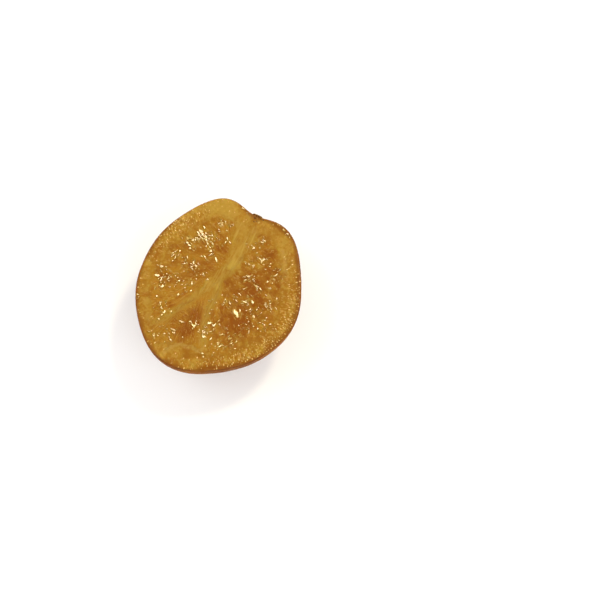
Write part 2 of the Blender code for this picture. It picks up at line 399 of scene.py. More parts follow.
# %% A map of the cut face
RIM_MEAN_WIDTH = 0.0069
RIM_WIDTH_CHANGE = 0.0009
RIM_THICKEST_ANGLE = 350.0
RIM_BUMPS = (  # how much wider, at what angle, over what spread
    (0.0014, 103.0, 10.0),
    (0.0012, 145.0, 26.0),
    (-0.0010, 200.0, 16.0),
    (-0.0036, 247.0, 8.0),
    (0.0036, 272.0, 10.0),
    (-0.0022, 304.0, 14.0),
)
COLUMN = ((0.0001, 0.0290), (0.0022, 0.0115), (-0.0018, 0.0010), (-0.0054, -0.0080))
COLUMN_HALF_WIDTHS = (0.0050, 0.0026, 0.0022, 0.0013)
SIDE_MEMBRANE = ((-0.0054, -0.0080), (-0.0101, -0.0164), (-0.0150, -0.0246))
LOWER_MEMBRANE = (
    (-0.0005, 0.0035),
    (0.0017, -0.0043),
    (0.0009, -0.0108),
    (0.0021, -0.0163),
    (0.0040, -0.0212),
    (0.0065, -0.0253),
)
MEMBRANE_HALF_WIDTH = 0.0006
BLOSSOM_PATCH = (face_place(187.0, 353.0), face_place(197.5, 353.5))
BLOSSOM_PATCH_HALF_WIDTH = 0.0022
PATCH_SOFTNESS = 0.0018
FOLD_PIXELS = (
    (163.5, 350.5),
    (168.4, 347.2),
    (176.0, 343.5),
    (180.5, 343.6),
    (187.4, 346.1),
    (191.2, 345.8),
    (194.4, 348.8),
    (198.8, 350.5),
    (202.0, 347.8),
)
FOLD = [face_place(*pixel) for pixel in FOLD_PIXELS]
FOLD_HALF_WIDTH = 0.0003
RIGHT_SEAM = ((0.0170, 0.0242), (0.0199, 0.0205), (0.0218, 0.0168))
FOLD_SOFTNESS = 0.0008
WANDER = 0.00045
WANDER_PITCH = 0.009
FAR_AWAY = 1.0


def wander(x, y):
    turn = 2.0 * math.pi / WANDER_PITCH
    slow = np.sin(turn * (0.8 * x + 0.5 * y))
    quick = np.sin(turn * (2.1 * y - 1.3 * x) + 1.0)
    return WANDER * slow + 0.5 * WANDER * quick


def distance_to_stroke(x, y, points, half_widths):
    """How far points are outside a line of changing width, or inside it below zero."""
    half_widths = np.broadcast_to(half_widths, len(points))
    best = np.full(x.shape, FAR_AWAY)
    for (x0, y0), (x1, y1), w0, w1 in zip(points, points[1:], half_widths, half_widths[1:]):
        run_x, run_y = x1 - x0, y1 - y0
        share = np.clip(((x - x0) * run_x + (y - y0) * run_y) / (run_x**2 + run_y**2), 0.0, 1.0)
        gap = np.hypot(x - x0 - share * run_x, y - y0 - share * run_y)
        best = np.minimum(best, gap - (w0 + share * (w1 - w0)))
    return best


def rim_width(angle):
    width = RIM_MEAN_WIDTH + RIM_WIDTH_CHANGE * np.cos(angle - math.radians(RIM_THICKEST_ANGLE))
    for wider, middle, spread in RIM_BUMPS:
        width = width + wider * bell_round(angle, middle, spread)
    return width


def fold_mask(x, y):
    """1 on the two folds of membrane that show as tan bands: over the patch, and at the right."""
    over_patch = distance_to_stroke(x, y, FOLD, FOLD_HALF_WIDTH)
    right = distance_to_stroke(x, y, RIGHT_SEAM, FOLD_HALF_WIDTH)
    return smooth_step(1.0 - np.minimum(over_patch, right) / FOLD_SOFTNESS)


def skin_distance(x, y):
    """How far inside the outline a point of the cut face is."""
    return face_radius(np.arctan2(y, x)) - np.hypot(x, y)


def wall_distance(x, y):
    """Distances into the pulp from the peel or column, and from the nearest membrane."""
    shift = wander(x, y)
    peel = skin_distance(x, y) - rim_width(np.arctan2(y, x))
    column = distance_to_stroke(x, y, COLUMN, COLUMN_HALF_WIDTHS)
    side = distance_to_stroke(x, y, SIDE_MEMBRANE, MEMBRANE_HALF_WIDTH)
    lower = distance_to_stroke(x, y, LOWER_MEMBRANE, MEMBRANE_HALF_WIDTH)
    return np.minimum(peel, column) + shift, np.minimum(side, lower) + 0.5 * shift


# %% [markdown]
# ## Small helpers
# A tree's inputs are named sizes. It is run once on a base object, and its result is kept as a plain
# mesh with one finish, because the fruit never changes after it is made.


# %% Small helpers
def new_object(name, verts, faces, attributes=None):
    """An object from arrays, with a number or a vector at each point for each attribute."""
    mesh = bpy.data.meshes.new(name)
    mesh.from_pydata(verts.tolist(), [], faces.tolist())
    for label, values in (attributes or {}).items():
        set_attribute(mesh, label, values)
    return linked(name, mesh)


def linked(name, data):
    """An object in the scene for a mesh, a lamp or a camera."""
    made = bpy.data.objects.new(name, data)
    bpy.context.scene.collection.objects.link(made)
    return made


def set_attribute(mesh, label, values):
    values = np.asarray(values, np.float32)
    kind, field = ("FLOAT", "value") if values.ndim == 1 else ("FLOAT_VECTOR", "vector")
    mesh.attributes.new(label, kind, "POINT").data.foreach_set(field, values.ravel())


def points_of(mesh):
    points = np.zeros(len(mesh.vertices) * 3, np.float32)
    mesh.vertices.foreach_get("co", points)
    return points.reshape(-1, 3).astype(float)


def move_points(mesh, points):
    mesh.vertices.foreach_set("co", points.astype(np.float32).ravel())
    mesh.update()


def new_tree(name, inputs):
    """A bench for a new Geometry Nodes tree, and the tree's inputs as wires by name."""
    tree = bpy.data.node_groups.new(name, "GeometryNodeTree")
    tree.interface.new_socket("Geometry", in_out="INPUT", socket_type="NodeSocketGeometry")
    for label, kind in inputs.items():
        tree.interface.new_socket(label, in_out="INPUT", socket_type=kind)
    tree.interface.new_socket("Geometry", in_out="OUTPUT", socket_type="NodeSocketGeometry")
    bench = Bench(tree)
    entry = tree.nodes.new("NodeGroupInput")
    given = {socket.name: Wire(bench, socket) for socket in entry.outputs if socket.name}
    return bench, given


def close_tree(bench, geometry, finish):
    """Ends a tree with real copies, smooth shading and the material."""
    real = bench.node("GeometryNodeRealizeInstances", {}, {"Geometry": geometry})
    smooth = bench.node("GeometryNodeSetShadeSmooth", {}, {"Geometry": real})
    end_tree(bench, smooth, finish)


def end_tree(bench, geometry, finish):
    """Ends a tree whose copies are real already, and whose faces stay as they are."""
    finished = bench.node("GeometryNodeSetMaterial", {}, {"Geometry": geometry, "Material": finish})
    leave = bench.tree.nodes.new("NodeGroupOutput")
    bench.plug(leave.inputs[0], finished)


def run_tree(base, bench, values):
    """Runs a tree on an object and keeps the result as the object's plain mesh."""
    modifier = base.modifiers.new(bench.tree.name, "NODES")
    modifier.node_group = bench.tree
    for item in bench.tree.interface.items_tree:
        if item.in_out == "INPUT" and item.name in values:
            modifier[item.identifier] = values[item.name]
    graph = bpy.context.evaluated_depsgraph_get()
    grown = bpy.data.meshes.new_from_object(base.evaluated_get(graph))
    base.modifiers.remove(modifier)
    spent = base.data
    base.data = grown
    bpy.data.meshes.remove(spent)
    grown.name = base.name
    grown.materials.clear()
    grown.materials.append(values["Finish"])
    print(f"{base.name}: {len(grown.polygons)} faces")
    return base


NUMBER = "NodeSocketFloat"
WHOLE = "NodeSocketInt"
FINISH = "NodeSocketMaterial"

# %% [markdown]
# ## Finishes
# Every finish is a Principled shader. The peel and the pulp are translucent and wet, so theirs also
# scatter light under the surface, and the small pieces do without. Sizes in a pattern are real
# sizes, because the pattern reads the piece's own coordinates in metres. Colours were chosen
# against the photograph. A fade turns two levels of a noise, which lies between 0 and 1, into a
# mask, and the factor after a mask says how much of the second colour is mixed in.


# %% Start a finish
WET_IOR = 1.38
FINE_GRAIN = 0.0009
MOTTLE_GRAIN = 0.0012


def new_finish(name):
    made = bpy.data.materials.new(name)
    made.use_nodes = True
    bench = Bench(made.node_tree)
    shader = made.node_tree.nodes["Principled BSDF"]
    place = bench.node("ShaderNodeTexCoord", out="Object")
    return made, bench, shader, place


def translucent(radius, depth):
    """Shader inputs for light that goes this deep, farthest in red."""
    return {"Subsurface Weight": 1.0, "Subsurface Radius": radius, "Subsurface Scale": depth}


def attribute(bench, label):
    return bench.node("ShaderNodeAttribute", {"attribute_name": label}, out="Fac")


def blend(bench, factor, first, second):
    """One colour where factor is 0, the other where it is 1."""
    sockets = {0: factor, 6: first, 7: second}
    return bench.node("ShaderNodeMix", {"data_type": "RGBA"}, sockets, out=2)


def bump(bench, height):
    """Normals for a height in metres."""
    return bench.node("ShaderNodeBump", {}, {"Strength": 1.0, "Distance": 1.0, "Height": height})


def colour(red, green, blue):
    return (red, green, blue, 1.0)


# %% [markdown]
# ### Peel
# On the skin: brown orange with ochre clouds, and pores a good millimetre apart. On the cut: a thin
# line of skin, then the thick inner layer, soaked to a clear ochre, with short streaks that point
# at the skin and a fine pale speckle, partly the glands' own colour and partly painted glints of
# their wet tops. One material does both, because the colour only depends on how far below the skin
# a point is, and that number is stored on the mesh.

# %% Peel finish
PORE_PITCH = 0.00135
PORE_RIM = 0.42  # from a pore's middle, in pitches
PORE_FLOOR = 0.12
PORE_SHADING = 0.00008
SKIN_GRAIN_HEIGHT = 0.00004
SKIN_LINE = (0.0001, 0.0005)  # where the skin's colour ends, below the skin
SKIN_CLOUD_GRAIN = 0.016
RIM_CLOUD_GRAIN = 0.005
LINE_CLOUD_GRAIN = 0.004
PALE_END = (0.018, 0.050)  # where the rim pales, towards the stem
STEMWARD_STRAY = 0.02
RAY_WIDTH = 0.0008
RAY_LENGTH = 0.0024
FIBRE_STRETCH = 0.12
LINE_MOVES_WITH_TONE = 0.0024
LINE_MOVES_WITH_CLOUDS = 0.0010
LINE_FADE = (0.0008, 0.0027)  # where the darker layer under the skin ends
GLAND_RAY_HEIGHT = 0.00005
RAY_HEIGHT = 0.00002
SPECKLE_HEIGHT = 0.00002
FIBRE_HEIGHT = 0.00003
PEEL_GLOW = (1.0, 0.42, 0.12)
PEEL_GLOW_DEPTH = 0.0008
SKIN_BROWN = colour(0.155, 0.050, 0.006)
SKIN_OCHRE = colour(0.215, 0.074, 0.009)
UNDER_SKIN = colour(0.245, 0.092, 0.011)
RIM_OCHRE = colour(0.368, 0.184, 0.020)
RIM_OLIVE = colour(0.319, 0.140, 0.015)
RIM_PALE = colour(0.416, 0.238, 0.033)
# Pale rim specks: partly the glands' own colour, partly painted glints of wet cut glands.
RIM_SPECK_AND_GLINT = colour(0.78, 0.500, 0.120)
FOLD_TAN = colour(0.450, 0.261, 0.053)
RIM_RUST = colour(0.295, 0.117, 0.011)
RIM_BRIGHT = colour(0.467, 0.302, 0.051)
PITH_YELLOW = colour(0.396, 0.227, 0.034)
PATCH_BROWN = colour(0.288, 0.117, 0.011)
COLUMN_TURN = math.radians(-18.0)


def rim_colour(bench, place):
    """The inner layer: soft clouds, a paler stem end, a mottle strongest among the glands, and spots."""
    clouds = bench.noise(place, RIM_CLOUD_GRAIN, 3.0)
    rim = blend(bench, clouds.fade(0.36, 0.64), RIM_OLIVE, RIM_OCHRE)
    stemward = bench.axis(place, "Y") + clouds * STEMWARD_STRAY
    rim = blend(bench, stemward.fade(*PALE_END) * 0.7, rim, RIM_PALE)
    fine = bench.noise(place, MOTTLE_GRAIN, 3.0)
    mottled = attribute(bench, "oil") * 0.45 + 0.32
    rim = blend(bench, fine.fade(0.48, 0.66) * mottled, rim, RIM_BRIGHT)
    rim = blend(bench, fine.fade(0.48, 0.32) * mottled, rim, RIM_RUST)
    tone = attribute(bench, "tone") + (fine - 0.5) * 0.8
    rim = blend(bench, tone.fade(0.05, 0.95) * 0.45, rim, RIM_BRIGHT)
    return blend(bench, tone.fade(-0.05, -0.95) * 0.8, rim, RIM_RUST)


def rim_patterns(bench, place, depth):
    """Streaks that point at the skin, a fine speckle, and fibres along the column."""
    flat = bench.vector("MULTIPLY", place, (1.0, 1.0, 0.0))
    bearing = bench.scaled(bench.vector("NORMALIZE", flat), MEAN_RADIUS / RAY_WIDTH)
    inward = bench.joined(0.0, 0.0, depth * (1.0 / RAY_LENGTH))
    rays = bench.noise(bench.vector("ADD", bearing, inward), 1.0)
    speckle = bench.noise(place, FINE_GRAIN, 1.0)
    turn = {"Vector": place, "Rotation": (0.0, 0.0, COLUMN_TURN), "Scale": (1.0, FIBRE_STRETCH, 1.0)}
    fibres = bench.noise(bench.node("ShaderNodeMapping", {}, turn), FINE_GRAIN)
    return rays, speckle, fibres


def cut_colour(bench, place, depth, rays, speckle, fibres):
    """The cut: inner layer, specks in part painted glints, pith, patch, folds, a darker layer by the skin.
    """
    pith = attribute(bench, "pith")
    tone = attribute(bench, "tone")
    # The pale specks are partly the cut glands' colour and partly painted glints of their wet tops.
    specks = (rays * 0.5 + speckle * 0.5).fade(0.52, 0.64) * (attribute(bench, "oil") * 0.7 + 0.06)
    fold = attribute(bench, "fold") * (speckle.fade(0.3, 0.7) * 0.6 + 0.3)
    rim = blend(bench, specks, rim_colour(bench, place), RIM_SPECK_AND_GLINT)
    rim = blend(bench, pith * (fibres.fade(0.42, 0.58) * 0.7 + 0.15), rim, PITH_YELLOW)
    rim = blend(bench, pith * fibres.fade(0.54, 0.66) * 0.8, rim, RIM_BRIGHT)
    rim = blend(bench, attribute(bench, "patch") * 0.85, rim, PATCH_BROWN)
    rim = blend(bench, fold, rim, FOLD_TAN)
    rim = blend(bench, tone.fade(0.2, 1.1) * pith * fibres.fade(0.30, 0.55), rim, RIM_BRIGHT)
    clouds = bench.noise(place, LINE_CLOUD_GRAIN)
    under = depth + (tone.fade(-1.0, 1.0) - 0.5) * LINE_MOVES_WITH_TONE + clouds * LINE_MOVES_WITH_CLOUDS
    return blend(bench, under.fade(*LINE_FADE), UNDER_SKIN, rim)


def peel_finish():
    made, bench, shader, place = new_finish("peel")
    depth = attribute(bench, "depth")
    rays, speckle, fibres = rim_patterns(bench, place, depth)
    on_skin = depth.fade(SKIN_LINE[1], SKIN_LINE[0])
    clouds = bench.noise(place, SKIN_CLOUD_GRAIN, 3.0)
    skin = blend(bench, clouds.fade(0.42, 0.62), SKIN_BROWN, SKIN_OCHRE)
    cut = cut_colour(bench, place, depth, rays, speckle, fibres)
    pores = bench.cells(place, PORE_PITCH).fade(PORE_RIM, PORE_FLOOR)
    skin_height = pores * -PORE_SHADING + bench.noise(place, FINE_GRAIN) * SKIN_GRAIN_HEIGHT
    ray_height = rays * (attribute(bench, "oil") * GLAND_RAY_HEIGHT + RAY_HEIGHT)
    fibre_height = fibres * attribute(bench, "pith") * FIBRE_HEIGHT
    rim_height = ray_height + speckle * SPECKLE_HEIGHT + fibre_height
    bench.fill(shader, {
        "Base Color": blend(bench, on_skin, cut, skin),
        "Normal": bump(bench, skin_height * on_skin + rim_height * (1.0 - on_skin)),
        "Roughness": on_skin * 0.50 + 0.22,
        "Specular IOR Level": 0.12,
        "IOR": WET_IOR,
        **translucent(PEEL_GLOW, PEEL_GLOW_DEPTH),
    })
    return made


# %% [markdown]
# ### Juice sacs
# Amber drops under a wet film. Each sac has a shade of its own, stored on its points, and is paler
# where the walls of two sacs meet. Streaks and reddish clouds run along the sacs: their noise reads
# a stored pair of numbers, across and along the sacs, instead of the plain place. Near the peel the
# pulp pales to the colour of the peel, and the spots, tones and folds of the map are mixed in.

# %% Juice sac finish
PULP_RED = colour(0.256, 0.083, 0.009)
PULP_AMBER = colour(0.373, 0.183, 0.020)
PULP_WALL = colour(0.530, 0.342, 0.076)
LANE_STRAY = 0.0030
LANE_STRAY_GRAIN = 0.0020
PULP_CLOUD_GRAIN = 0.006
LANE_CLOUD_GRAIN = 0.0022
PULP_RIPPLE = 0.00002
STREAK_HEIGHT = 0.00003
PULP_GLOW = (1.0, 0.40, 0.10)
PULP_GLOW_DEPTH = 0.0010


def pulp_finish():
    made, bench, shader, place = new_finish("juice_sacs")
    lane = bench.node("ShaderNodeAttribute", {"attribute_name": "lane"}, out="Vector")
    stray = bench.scaled(bench.noise(place, LANE_STRAY_GRAIN, out="Color"), LANE_STRAY)
    lane = bench.vector("ADD", lane, stray)
    clouds = bench.noise(place, PULP_CLOUD_GRAIN, 3.0) * 0.4 + bench.noise(lane, LANE_CLOUD_GRAIN) * 0.6
    amber = clouds + attribute(bench, "shade") * 0.10 - attribute(bench, "stain") * 0.28
    flesh = blend(bench, amber.fade(0.26, 0.64), PULP_RED, PULP_AMBER)
    streaks = bench.noise(lane, FINE_GRAIN, 3.0)
    walls = attribute(bench, "crest").fade(-0.2, -1.0) * 0.35 + streaks.fade(0.52, 0.70) * 0.50
    flesh = blend(bench, walls, flesh, PULP_WALL)
    flesh = blend(bench, streaks.fade(0.46, 0.30) * 0.50, flesh, PULP_RED)
    flesh = blend(bench, attribute(bench, "edge"), flesh, rim_colour(bench, place))
    flesh = blend(bench, attribute(bench, "pith") * 0.7, flesh, PITH_YELLOW)
    fold = attribute(bench, "fold") * (streaks.fade(0.35, 0.65) * 0.6 + 0.3)
    ripple = bench.noise(place, MOTTLE_GRAIN) * PULP_RIPPLE + streaks * STREAK_HEIGHT
    bench.fill(shader, {
        "Base Color": blend(bench, fold, flesh, FOLD_TAN),
        "Normal": bump(bench, ripple),
        "Roughness": 0.14,
        "IOR": WET_IOR,
        "Specular IOR Level": 0.15,
        **translucent(PULP_GLOW, PULP_GLOW_DEPTH),
    })
    return made


# %% [markdown]
# ### Threads, glands, syrup and stem button
# The pith's threads are a paler yellow and less wet. Oil glands and drops of syrup are clear beads:
# a real clear bead would need light traced through it, and a bead in the colour of what lies under
# it, with a hard gloss, looks the same at this size. The glands' pale spots are partly painted
# glints. The stem button is dry and dark brown.


# %% Finishes of the small pieces
GLAND_AMBER = colour(0.50, 0.27, 0.040)
GLAND_PALE_AND_GLINT = colour(0.72, 0.47, 0.130)
# Pale gland colour: partly their own colour, partly a painted glint.
GLAND_SPOT_GRAIN = 0.002
SYRUP_CLOUD_GRAIN = 0.004
SYRUP_RIPPLE_GRAIN = 0.0010
SYRUP_RIPPLE = 0.000008
BUTTON_BROWN = colour(0.085, 0.028, 0.004)
BUTTON_TAN = colour(0.34, 0.165, 0.032)
BUTTON_GRAIN = 0.0006
BUTTON_ROUGH = 0.0002


def thread_finish():
    made, bench, shader, place = new_finish("pith_threads")
    streak = bench.noise(place, MOTTLE_GRAIN).fade(0.35, 0.65)
    tone = blend(bench, streak, RIM_OCHRE, PITH_YELLOW)
    bench.fill(shader, {"Base Color": tone, "Roughness": 0.50, "Specular IOR Level": 0.1})
    return made


def gland_finish():
    made, bench, shader, place = new_finish("oil_glands")
    # Pale spots on the beads: partly their own colour, partly painted glints of their wet tops.
    spots = bench.noise(place, GLAND_SPOT_GRAIN, 1.0).fade(0.4, 0.6)
    bench.fill(shader, {"Base Color": blend(bench, spots, GLAND_AMBER, GLAND_PALE_AND_GLINT), "Roughness": 0.15})
    return made


def syrup_finish():
    made, bench, shader, place = new_finish("syrup")
    clouds = bench.noise(place, SYRUP_CLOUD_GRAIN, 1.0).fade(0.4, 0.6)
    ripple = bench.noise(place, SYRUP_RIPPLE_GRAIN, 1.0) * SYRUP_RIPPLE
    bench.fill(shader, {
        "Base Color": blend(bench, clouds, PULP_AMBER, PULP_WALL),
        "Normal": bump(bench, ripple),
        "Roughness": 0.10,
        "IOR": WET_IOR,
        "Specular IOR Level": 0.38,
    })
    return made


def button_finish():
    made, bench, shader, place = new_finish("dry_cup")
    crumbs = bench.noise(place, BUTTON_GRAIN, 3.0)
    bench.fill(shader, {
        "Base Color": blend(bench, crumbs.fade(0.44, 0.58), BUTTON_BROWN, BUTTON_TAN),
        "Normal": bump(bench, crumbs * BUTTON_ROUGH),
        "Roughness": 0.85,
        "Specular IOR Level": 0.15,
    })
    return made


# %% [markdown]
# ## The peel
# The outer skin and the cut rim are one closed surface. A sphere would put its poles and long thin
# triangles in plain sight, so the mesh is built like a drum: a square grid bent into a disc for the
# middle of the cut face, then ring after ring out to the edge, over its small round, and down the
# back, and a second disc that closes the underside.

# %% Lay out the peel's mesh
GRID = 128
EDGE_ROUND = 0.0007
EDGE_RINGS = 4
RIM_BAND = 0.0110
RIM_RINGS = 26
BACK_CAP_ANGLE = math.radians(40.0)
BACK_RINGS = 80
POCKET_DEPTH = 0.0030
POCKET_START = 0.0007
POCKET_BLEND = 0.0011
PATCH_DISH = 0.00006
BACK_START = 1.6  # the back's first ring, in edge rounds below the cut
OIL_EVERYWHERE = 0.12
OIL_PLACES = ((1.0, 340.0, 50.0), (0.8, 150.0, 28.0))  # how much more, at what angle, over what spread
OIL_FADE = 0.0060
COLUMN_SOFTNESS = 0.0018
MEMBRANE_SOFTNESS = 0.0010
PITH_STARTS = 0.004
PITH_FULL_AFTER = 0.003


def disc_grid():
    """A square grid bent into a unit disc: bearings, shares of the radius, faces and the outer ring."""
    step = np.linspace(-1.0, 1.0, GRID + 1)
    u, v = (part.ravel() for part in np.meshgrid(step, step))
    share = np.maximum(np.abs(u), np.abs(v))
    safe = np.where(share > 0.0, share, 1.0)
    wide = np.abs(u) >= np.abs(v)
    quarter = math.pi / 4.0
    beside = quarter * v / np.where(u == 0.0, safe, u)
    above = math.pi / 2.0 - quarter * u / np.where(v == 0.0, safe, v)
    bearing = np.where(wide, beside, above)
    bearing += np.where(np.where(wide, u, v) < 0.0, math.pi, 0.0)
    faces = grid_quads(GRID + 1)
    index = np.arange((GRID + 1) ** 2).reshape(GRID + 1, GRID + 1)
    ring = np.concatenate((index[:-1, -1], index[-1, :0:-1], index[:0:-1, 0], index[0, :-1]))
    return bearing, share, faces, ring


def cut_height(x, y):
    """Height of the peel's cut face, from the knife's plane."""
    wall = np.minimum(*wall_distance(x, y))
    pocket = smooth_step((wall - POCKET_START) / POCKET_BLEND)
    inset = np.clip(EDGE_ROUND - skin_distance(x, y), 0.0, EDGE_ROUND)
    rounding = EDGE_ROUND - np.sqrt(EDGE_ROUND**2 - inset**2)
    return -PATCH_DISH * patch_mask(x, y) - POCKET_DEPTH * pocket - rounding


def patch_mask(x, y):
    """1 in the smooth patch by the blossom end, where the knife grazed one more segment."""
    inside = -distance_to_stroke(x, y, BLOSSOM_PATCH, BLOSSOM_PATCH_HALF_WIDTH)
    return smooth_step((inside + 2.0 * wander(x, y)) / PATCH_SOFTNESS)


def oil_share(bearing, inset):
    """How thickly the oil glands lie: most at the lower right and near the shoulder."""
    share = OIL_EVERYWHERE
    for strength, middle, spread in OIL_PLACES:
        share = share + strength * bell_round(bearing, middle, spread)
    return np.clip(share * np.exp(-inset / OIL_FADE), 0.0, 1.0)


def back_ring(bearing, down):
    """A ring of the skin at one angle up from the lowest point."""
    flat = math.sin(down)
    level = np.full(bearing.shape, -math.cos(down))
    return skin_point(np.column_stack((flat * np.cos(bearing), flat * np.sin(bearing), level)))


def drum_faces(disc_faces, ring, inner, rings):
    """The upper disc, the bands from ring to ring, and the lower disc turned over."""
    count = len(ring)
    loops = [ring] + [len(inner) + count * i + np.arange(count) for i in range(rings)]
    quads = [disc_faces]
    for upper, lower in zip(loops, loops[1:]):
        quads.append(np.column_stack((upper, lower, np.roll(lower, -1), np.roll(upper, -1))))
    cap_index = np.zeros(len(inner), int)
    cap_index[ring] = loops[-1]
    cap_index[inner] = loops[-1][-1] + 1 + np.arange(inner.sum())
    quads.append(cap_index[disc_faces][:, ::-1])
    return np.vstack(quads)


def peel_mesh():
    """Points, faces, and how far below the skin each point is."""
    bearing, share, faces, ring = disc_grid()
    ring_bearing = bearing[ring]
    edge = face_radius(ring_bearing)
    near_edge = EDGE_ROUND * (1.0 - np.cos(np.linspace(0.0, math.pi / 2.0, EDGE_RINGS)))
    from_edge = np.concatenate((np.linspace(RIM_BAND, EDGE_ROUND, RIM_RINGS)[1:-1], near_edge[::-1]))
    flat_parts = [(share * (face_radius(bearing) - RIM_BAND), bearing)]
    flat_parts += [(edge - inset, ring_bearing) for inset in from_edge]
    parts, depths = [], []
    for radius, angle in flat_parts:
        x, y = radius * np.cos(angle), radius * np.sin(angle)
        parts.append(np.column_stack((x, y, cut_height(x, y))))
        depths.append(np.maximum(skin_distance(x, y), 0.0))
    start = math.pi / 2.0 - BACK_START * EDGE_ROUND / BACK_DEPTH
    parts += [back_ring(ring_bearing, down) for down in np.linspace(start, BACK_CAP_ANGLE, BACK_RINGS)]
    cap_angle = BACK_CAP_ANGLE * share
    flat = np.sin(cap_angle)
    cap = skin_point(np.column_stack((flat * np.cos(bearing), flat * np.sin(bearing), -np.cos(cap_angle))))
    inner = share < 1.0
    parts.append(cap[inner])
    depths.append(np.zeros(BACK_RINGS * len(ring) + inner.sum()))
    quads = drum_faces(faces, ring, inner, len(from_edge) + BACK_RINGS)
    return np.vstack(parts), quads, np.concatenate(depths)


def pith_mask(x, y, depth):
    """1 on the column and the membranes, where they aren't part of the rim."""
    column = smooth_step(0.4 - distance_to_stroke(x, y, COLUMN, COLUMN_HALF_WIDTHS) / COLUMN_SOFTNESS)
    membranes = smooth_step(0.7 - wall_distance(x, y)[1] / MEMBRANE_SOFTNESS)
    return np.maximum(column, 0.9 * membranes) * smooth_step((depth - PITH_STARTS) / PITH_FULL_AFTER)


peel_points, peel_faces, peel_depth = peel_mesh()
peel_x, peel_y, peel_z = peel_points.T
peel_numbers = {
    "depth": peel_depth,
    "pith": pith_mask(peel_x, peel_y, peel_depth),
    "patch": patch_mask(peel_x, peel_y),
    "oil": oil_share(np.arctan2(peel_y, peel_x), peel_depth),
    "tone": sum_of_spots(peel_x, peel_y, TONES),
    "fold": fold_mask(peel_x, peel_y),
}
level = np.maximum(peel_z + KNIFE_HEIGHT, 0.0)
peel_points = np.column_stack((peel_x - MIDDLE[0], peel_y - MIDDLE[1], level))
peel = new_object("peel", peel_points, peel_faces, peel_numbers)
print("peel:", len(peel_faces), "quads, box in mm", peel_points.min(0) / MM, peel_points.max(0) / MM)

# %% [markdown]
# The pores repeat all over the skin, so Geometry Nodes press them in: a Voronoi texture scatters
# points at the pitch of the oil glands, and the skin sinks a tenth of a millimetre at each. The
# finish uses the same texture at the same pitch, so its fine shading falls into the same pores.

# %% Press the pores into the skin
PORE_DEPTH = 0.00009
PORES_END = 0.0004  # below the skin
SWELL_GRAIN = 0.004


def pore_tree():
    bench, given = new_tree("pores", {"Pitch": NUMBER, "Depth": NUMBER, "Finish": FINISH})
    place = bench.node("GeometryNodeInputPosition")
    pores = bench.cells(place, given["Pitch"]).fade(PORE_RIM, PORE_FLOOR)
    swell = bench.noise(place, SWELL_GRAIN, 1.0) - 0.5
    sink = pores * given["Depth"] + swell * given["Depth"]
    on_skin = bench.stored("depth").fade(PORES_END, 0.0)
    offset = bench.scaled(bench.node("GeometryNodeInputNormal"), sink * on_skin * -1.0)
    close_tree(bench, bench.moved(given["Geometry"], offset), given["Finish"])
    return bench


run_tree(peel, pore_tree(), {"Pitch": PORE_PITCH, "Depth": PORE_DEPTH, "Finish": peel_finish()})
skin_points = points_of(peel.data)
skin_points[:, 2] = np.maximum(skin_points[:, 2], 0.0)
move_points(peel.data, skin_points)

# %% [markdown]
# ## The juice sacs
# A pocket of pulp is hundreds of drop-shaped sacs, four to nine millimetres long, that grow in
# from the peel and point at the column, packed until they share their walls. Geometry Nodes scatter
# points over the pockets, set a drop on each along the local direction, and melt drops and bed into
# one skin by way of a volume. Where the knife passed, the tops are then pressed nearly flat.

# %% Lay the bed of the pulp
BED_STEP = 0.0006
BED_TOP = -0.0014
BED_BOTTOM = -0.0030
BED_MARGIN = -0.0010
SAC_FAN = 0.55
SAC_FAN_END = 1.3
LANE_REACH = 0.008
LANE_NEAREST = 0.002
LANE_SHORTENED = 0.50
LANE_SIDE = 0.05
BED_REACH = 0.045
BED_UNDER_MEMBRANES = 0.002


def column_run():
    """The column's top, and the vector to its lower end."""
    return (*COLUMN[0], COLUMN[-1][0] - COLUMN[0][0], COLUMN[-1][1] - COLUMN[0][1])


def sac_direction(x, y):
    """Unit direction of a sac: out from the column, fanning open at its ends."""
    start_x, start_y, run_x, run_y = column_run()
    share = ((x - start_x) * run_x + (y - start_y) * run_y) / (run_x**2 + run_y**2)
    share = 0.5 + SAC_FAN * (np.clip(share, 0.0, SAC_FAN_END) - 0.5)
    out_x, out_y = x - start_x - share * run_x, y - start_y - share * run_y
    length = np.maximum(np.hypot(out_x, out_y), BED_STEP)
    return np.column_stack((out_x / length, out_y / length, np.zeros_like(x)))


def sac_lane(x, y):
    """Across the sacs, along them (shortened), and the column's side: one number each, in metres."""
    start_x, start_y, run_x, run_y = column_run()
    length = math.hypot(run_x, run_y)
    along = ((x - start_x) * run_x + (y - start_y) * run_y) / length
    out = ((x - start_x) * run_y - (y - start_y) * run_x) / length
    fan = (np.maximum(np.abs(out), LANE_NEAREST) / LANE_REACH) ** (SAC_FAN - 1.0)
    across = (along - 0.5 * length) * fan
    return np.column_stack((across, np.abs(out) * LANE_SHORTENED, LANE_SIDE * np.sign(out)))


def pulp_bed():
    """A closed slab under the pockets, with the sacs' direction on its points."""
    reach = np.arange(-BED_REACH, BED_REACH, BED_STEP)
    x, y = (part.ravel() for part in np.meshgrid(reach, reach))
    quads = grid_quads(len(reach))
    thick, thin = wall_distance(x, y)
    inside = np.minimum(thick, thin + BED_UNDER_MEMBRANES) > BED_MARGIN
    quads = quads[inside[quads].all(axis=1)]
    used = np.unique(quads)
    lookup = np.zeros(len(x), int)
    lookup[used] = np.arange(len(used))
    flat = np.column_stack((x[used], y[used], np.full(len(used), BED_TOP)))
    bed = new_object("juice_sacs", flat, lookup[quads])
    builder = bmesh.new()
    builder.from_mesh(bed.data)
    raised = bmesh.ops.extrude_face_region(builder, geom=list(builder.faces))
    for item in raised["geom"]:
        if isinstance(item, bmesh.types.BMVert):
            item.co.z = BED_BOTTOM
    bmesh.ops.recalc_face_normals(builder, faces=builder.faces)
    builder.to_mesh(bed.data)
    builder.free()
    places = points_of(bed.data)
    set_attribute(bed.data, "way", sac_direction(places[:, 0], places[:, 1]))
    return bed


sacs = pulp_bed()
print("pulp bed:", len(sacs.data.polygons), "faces")


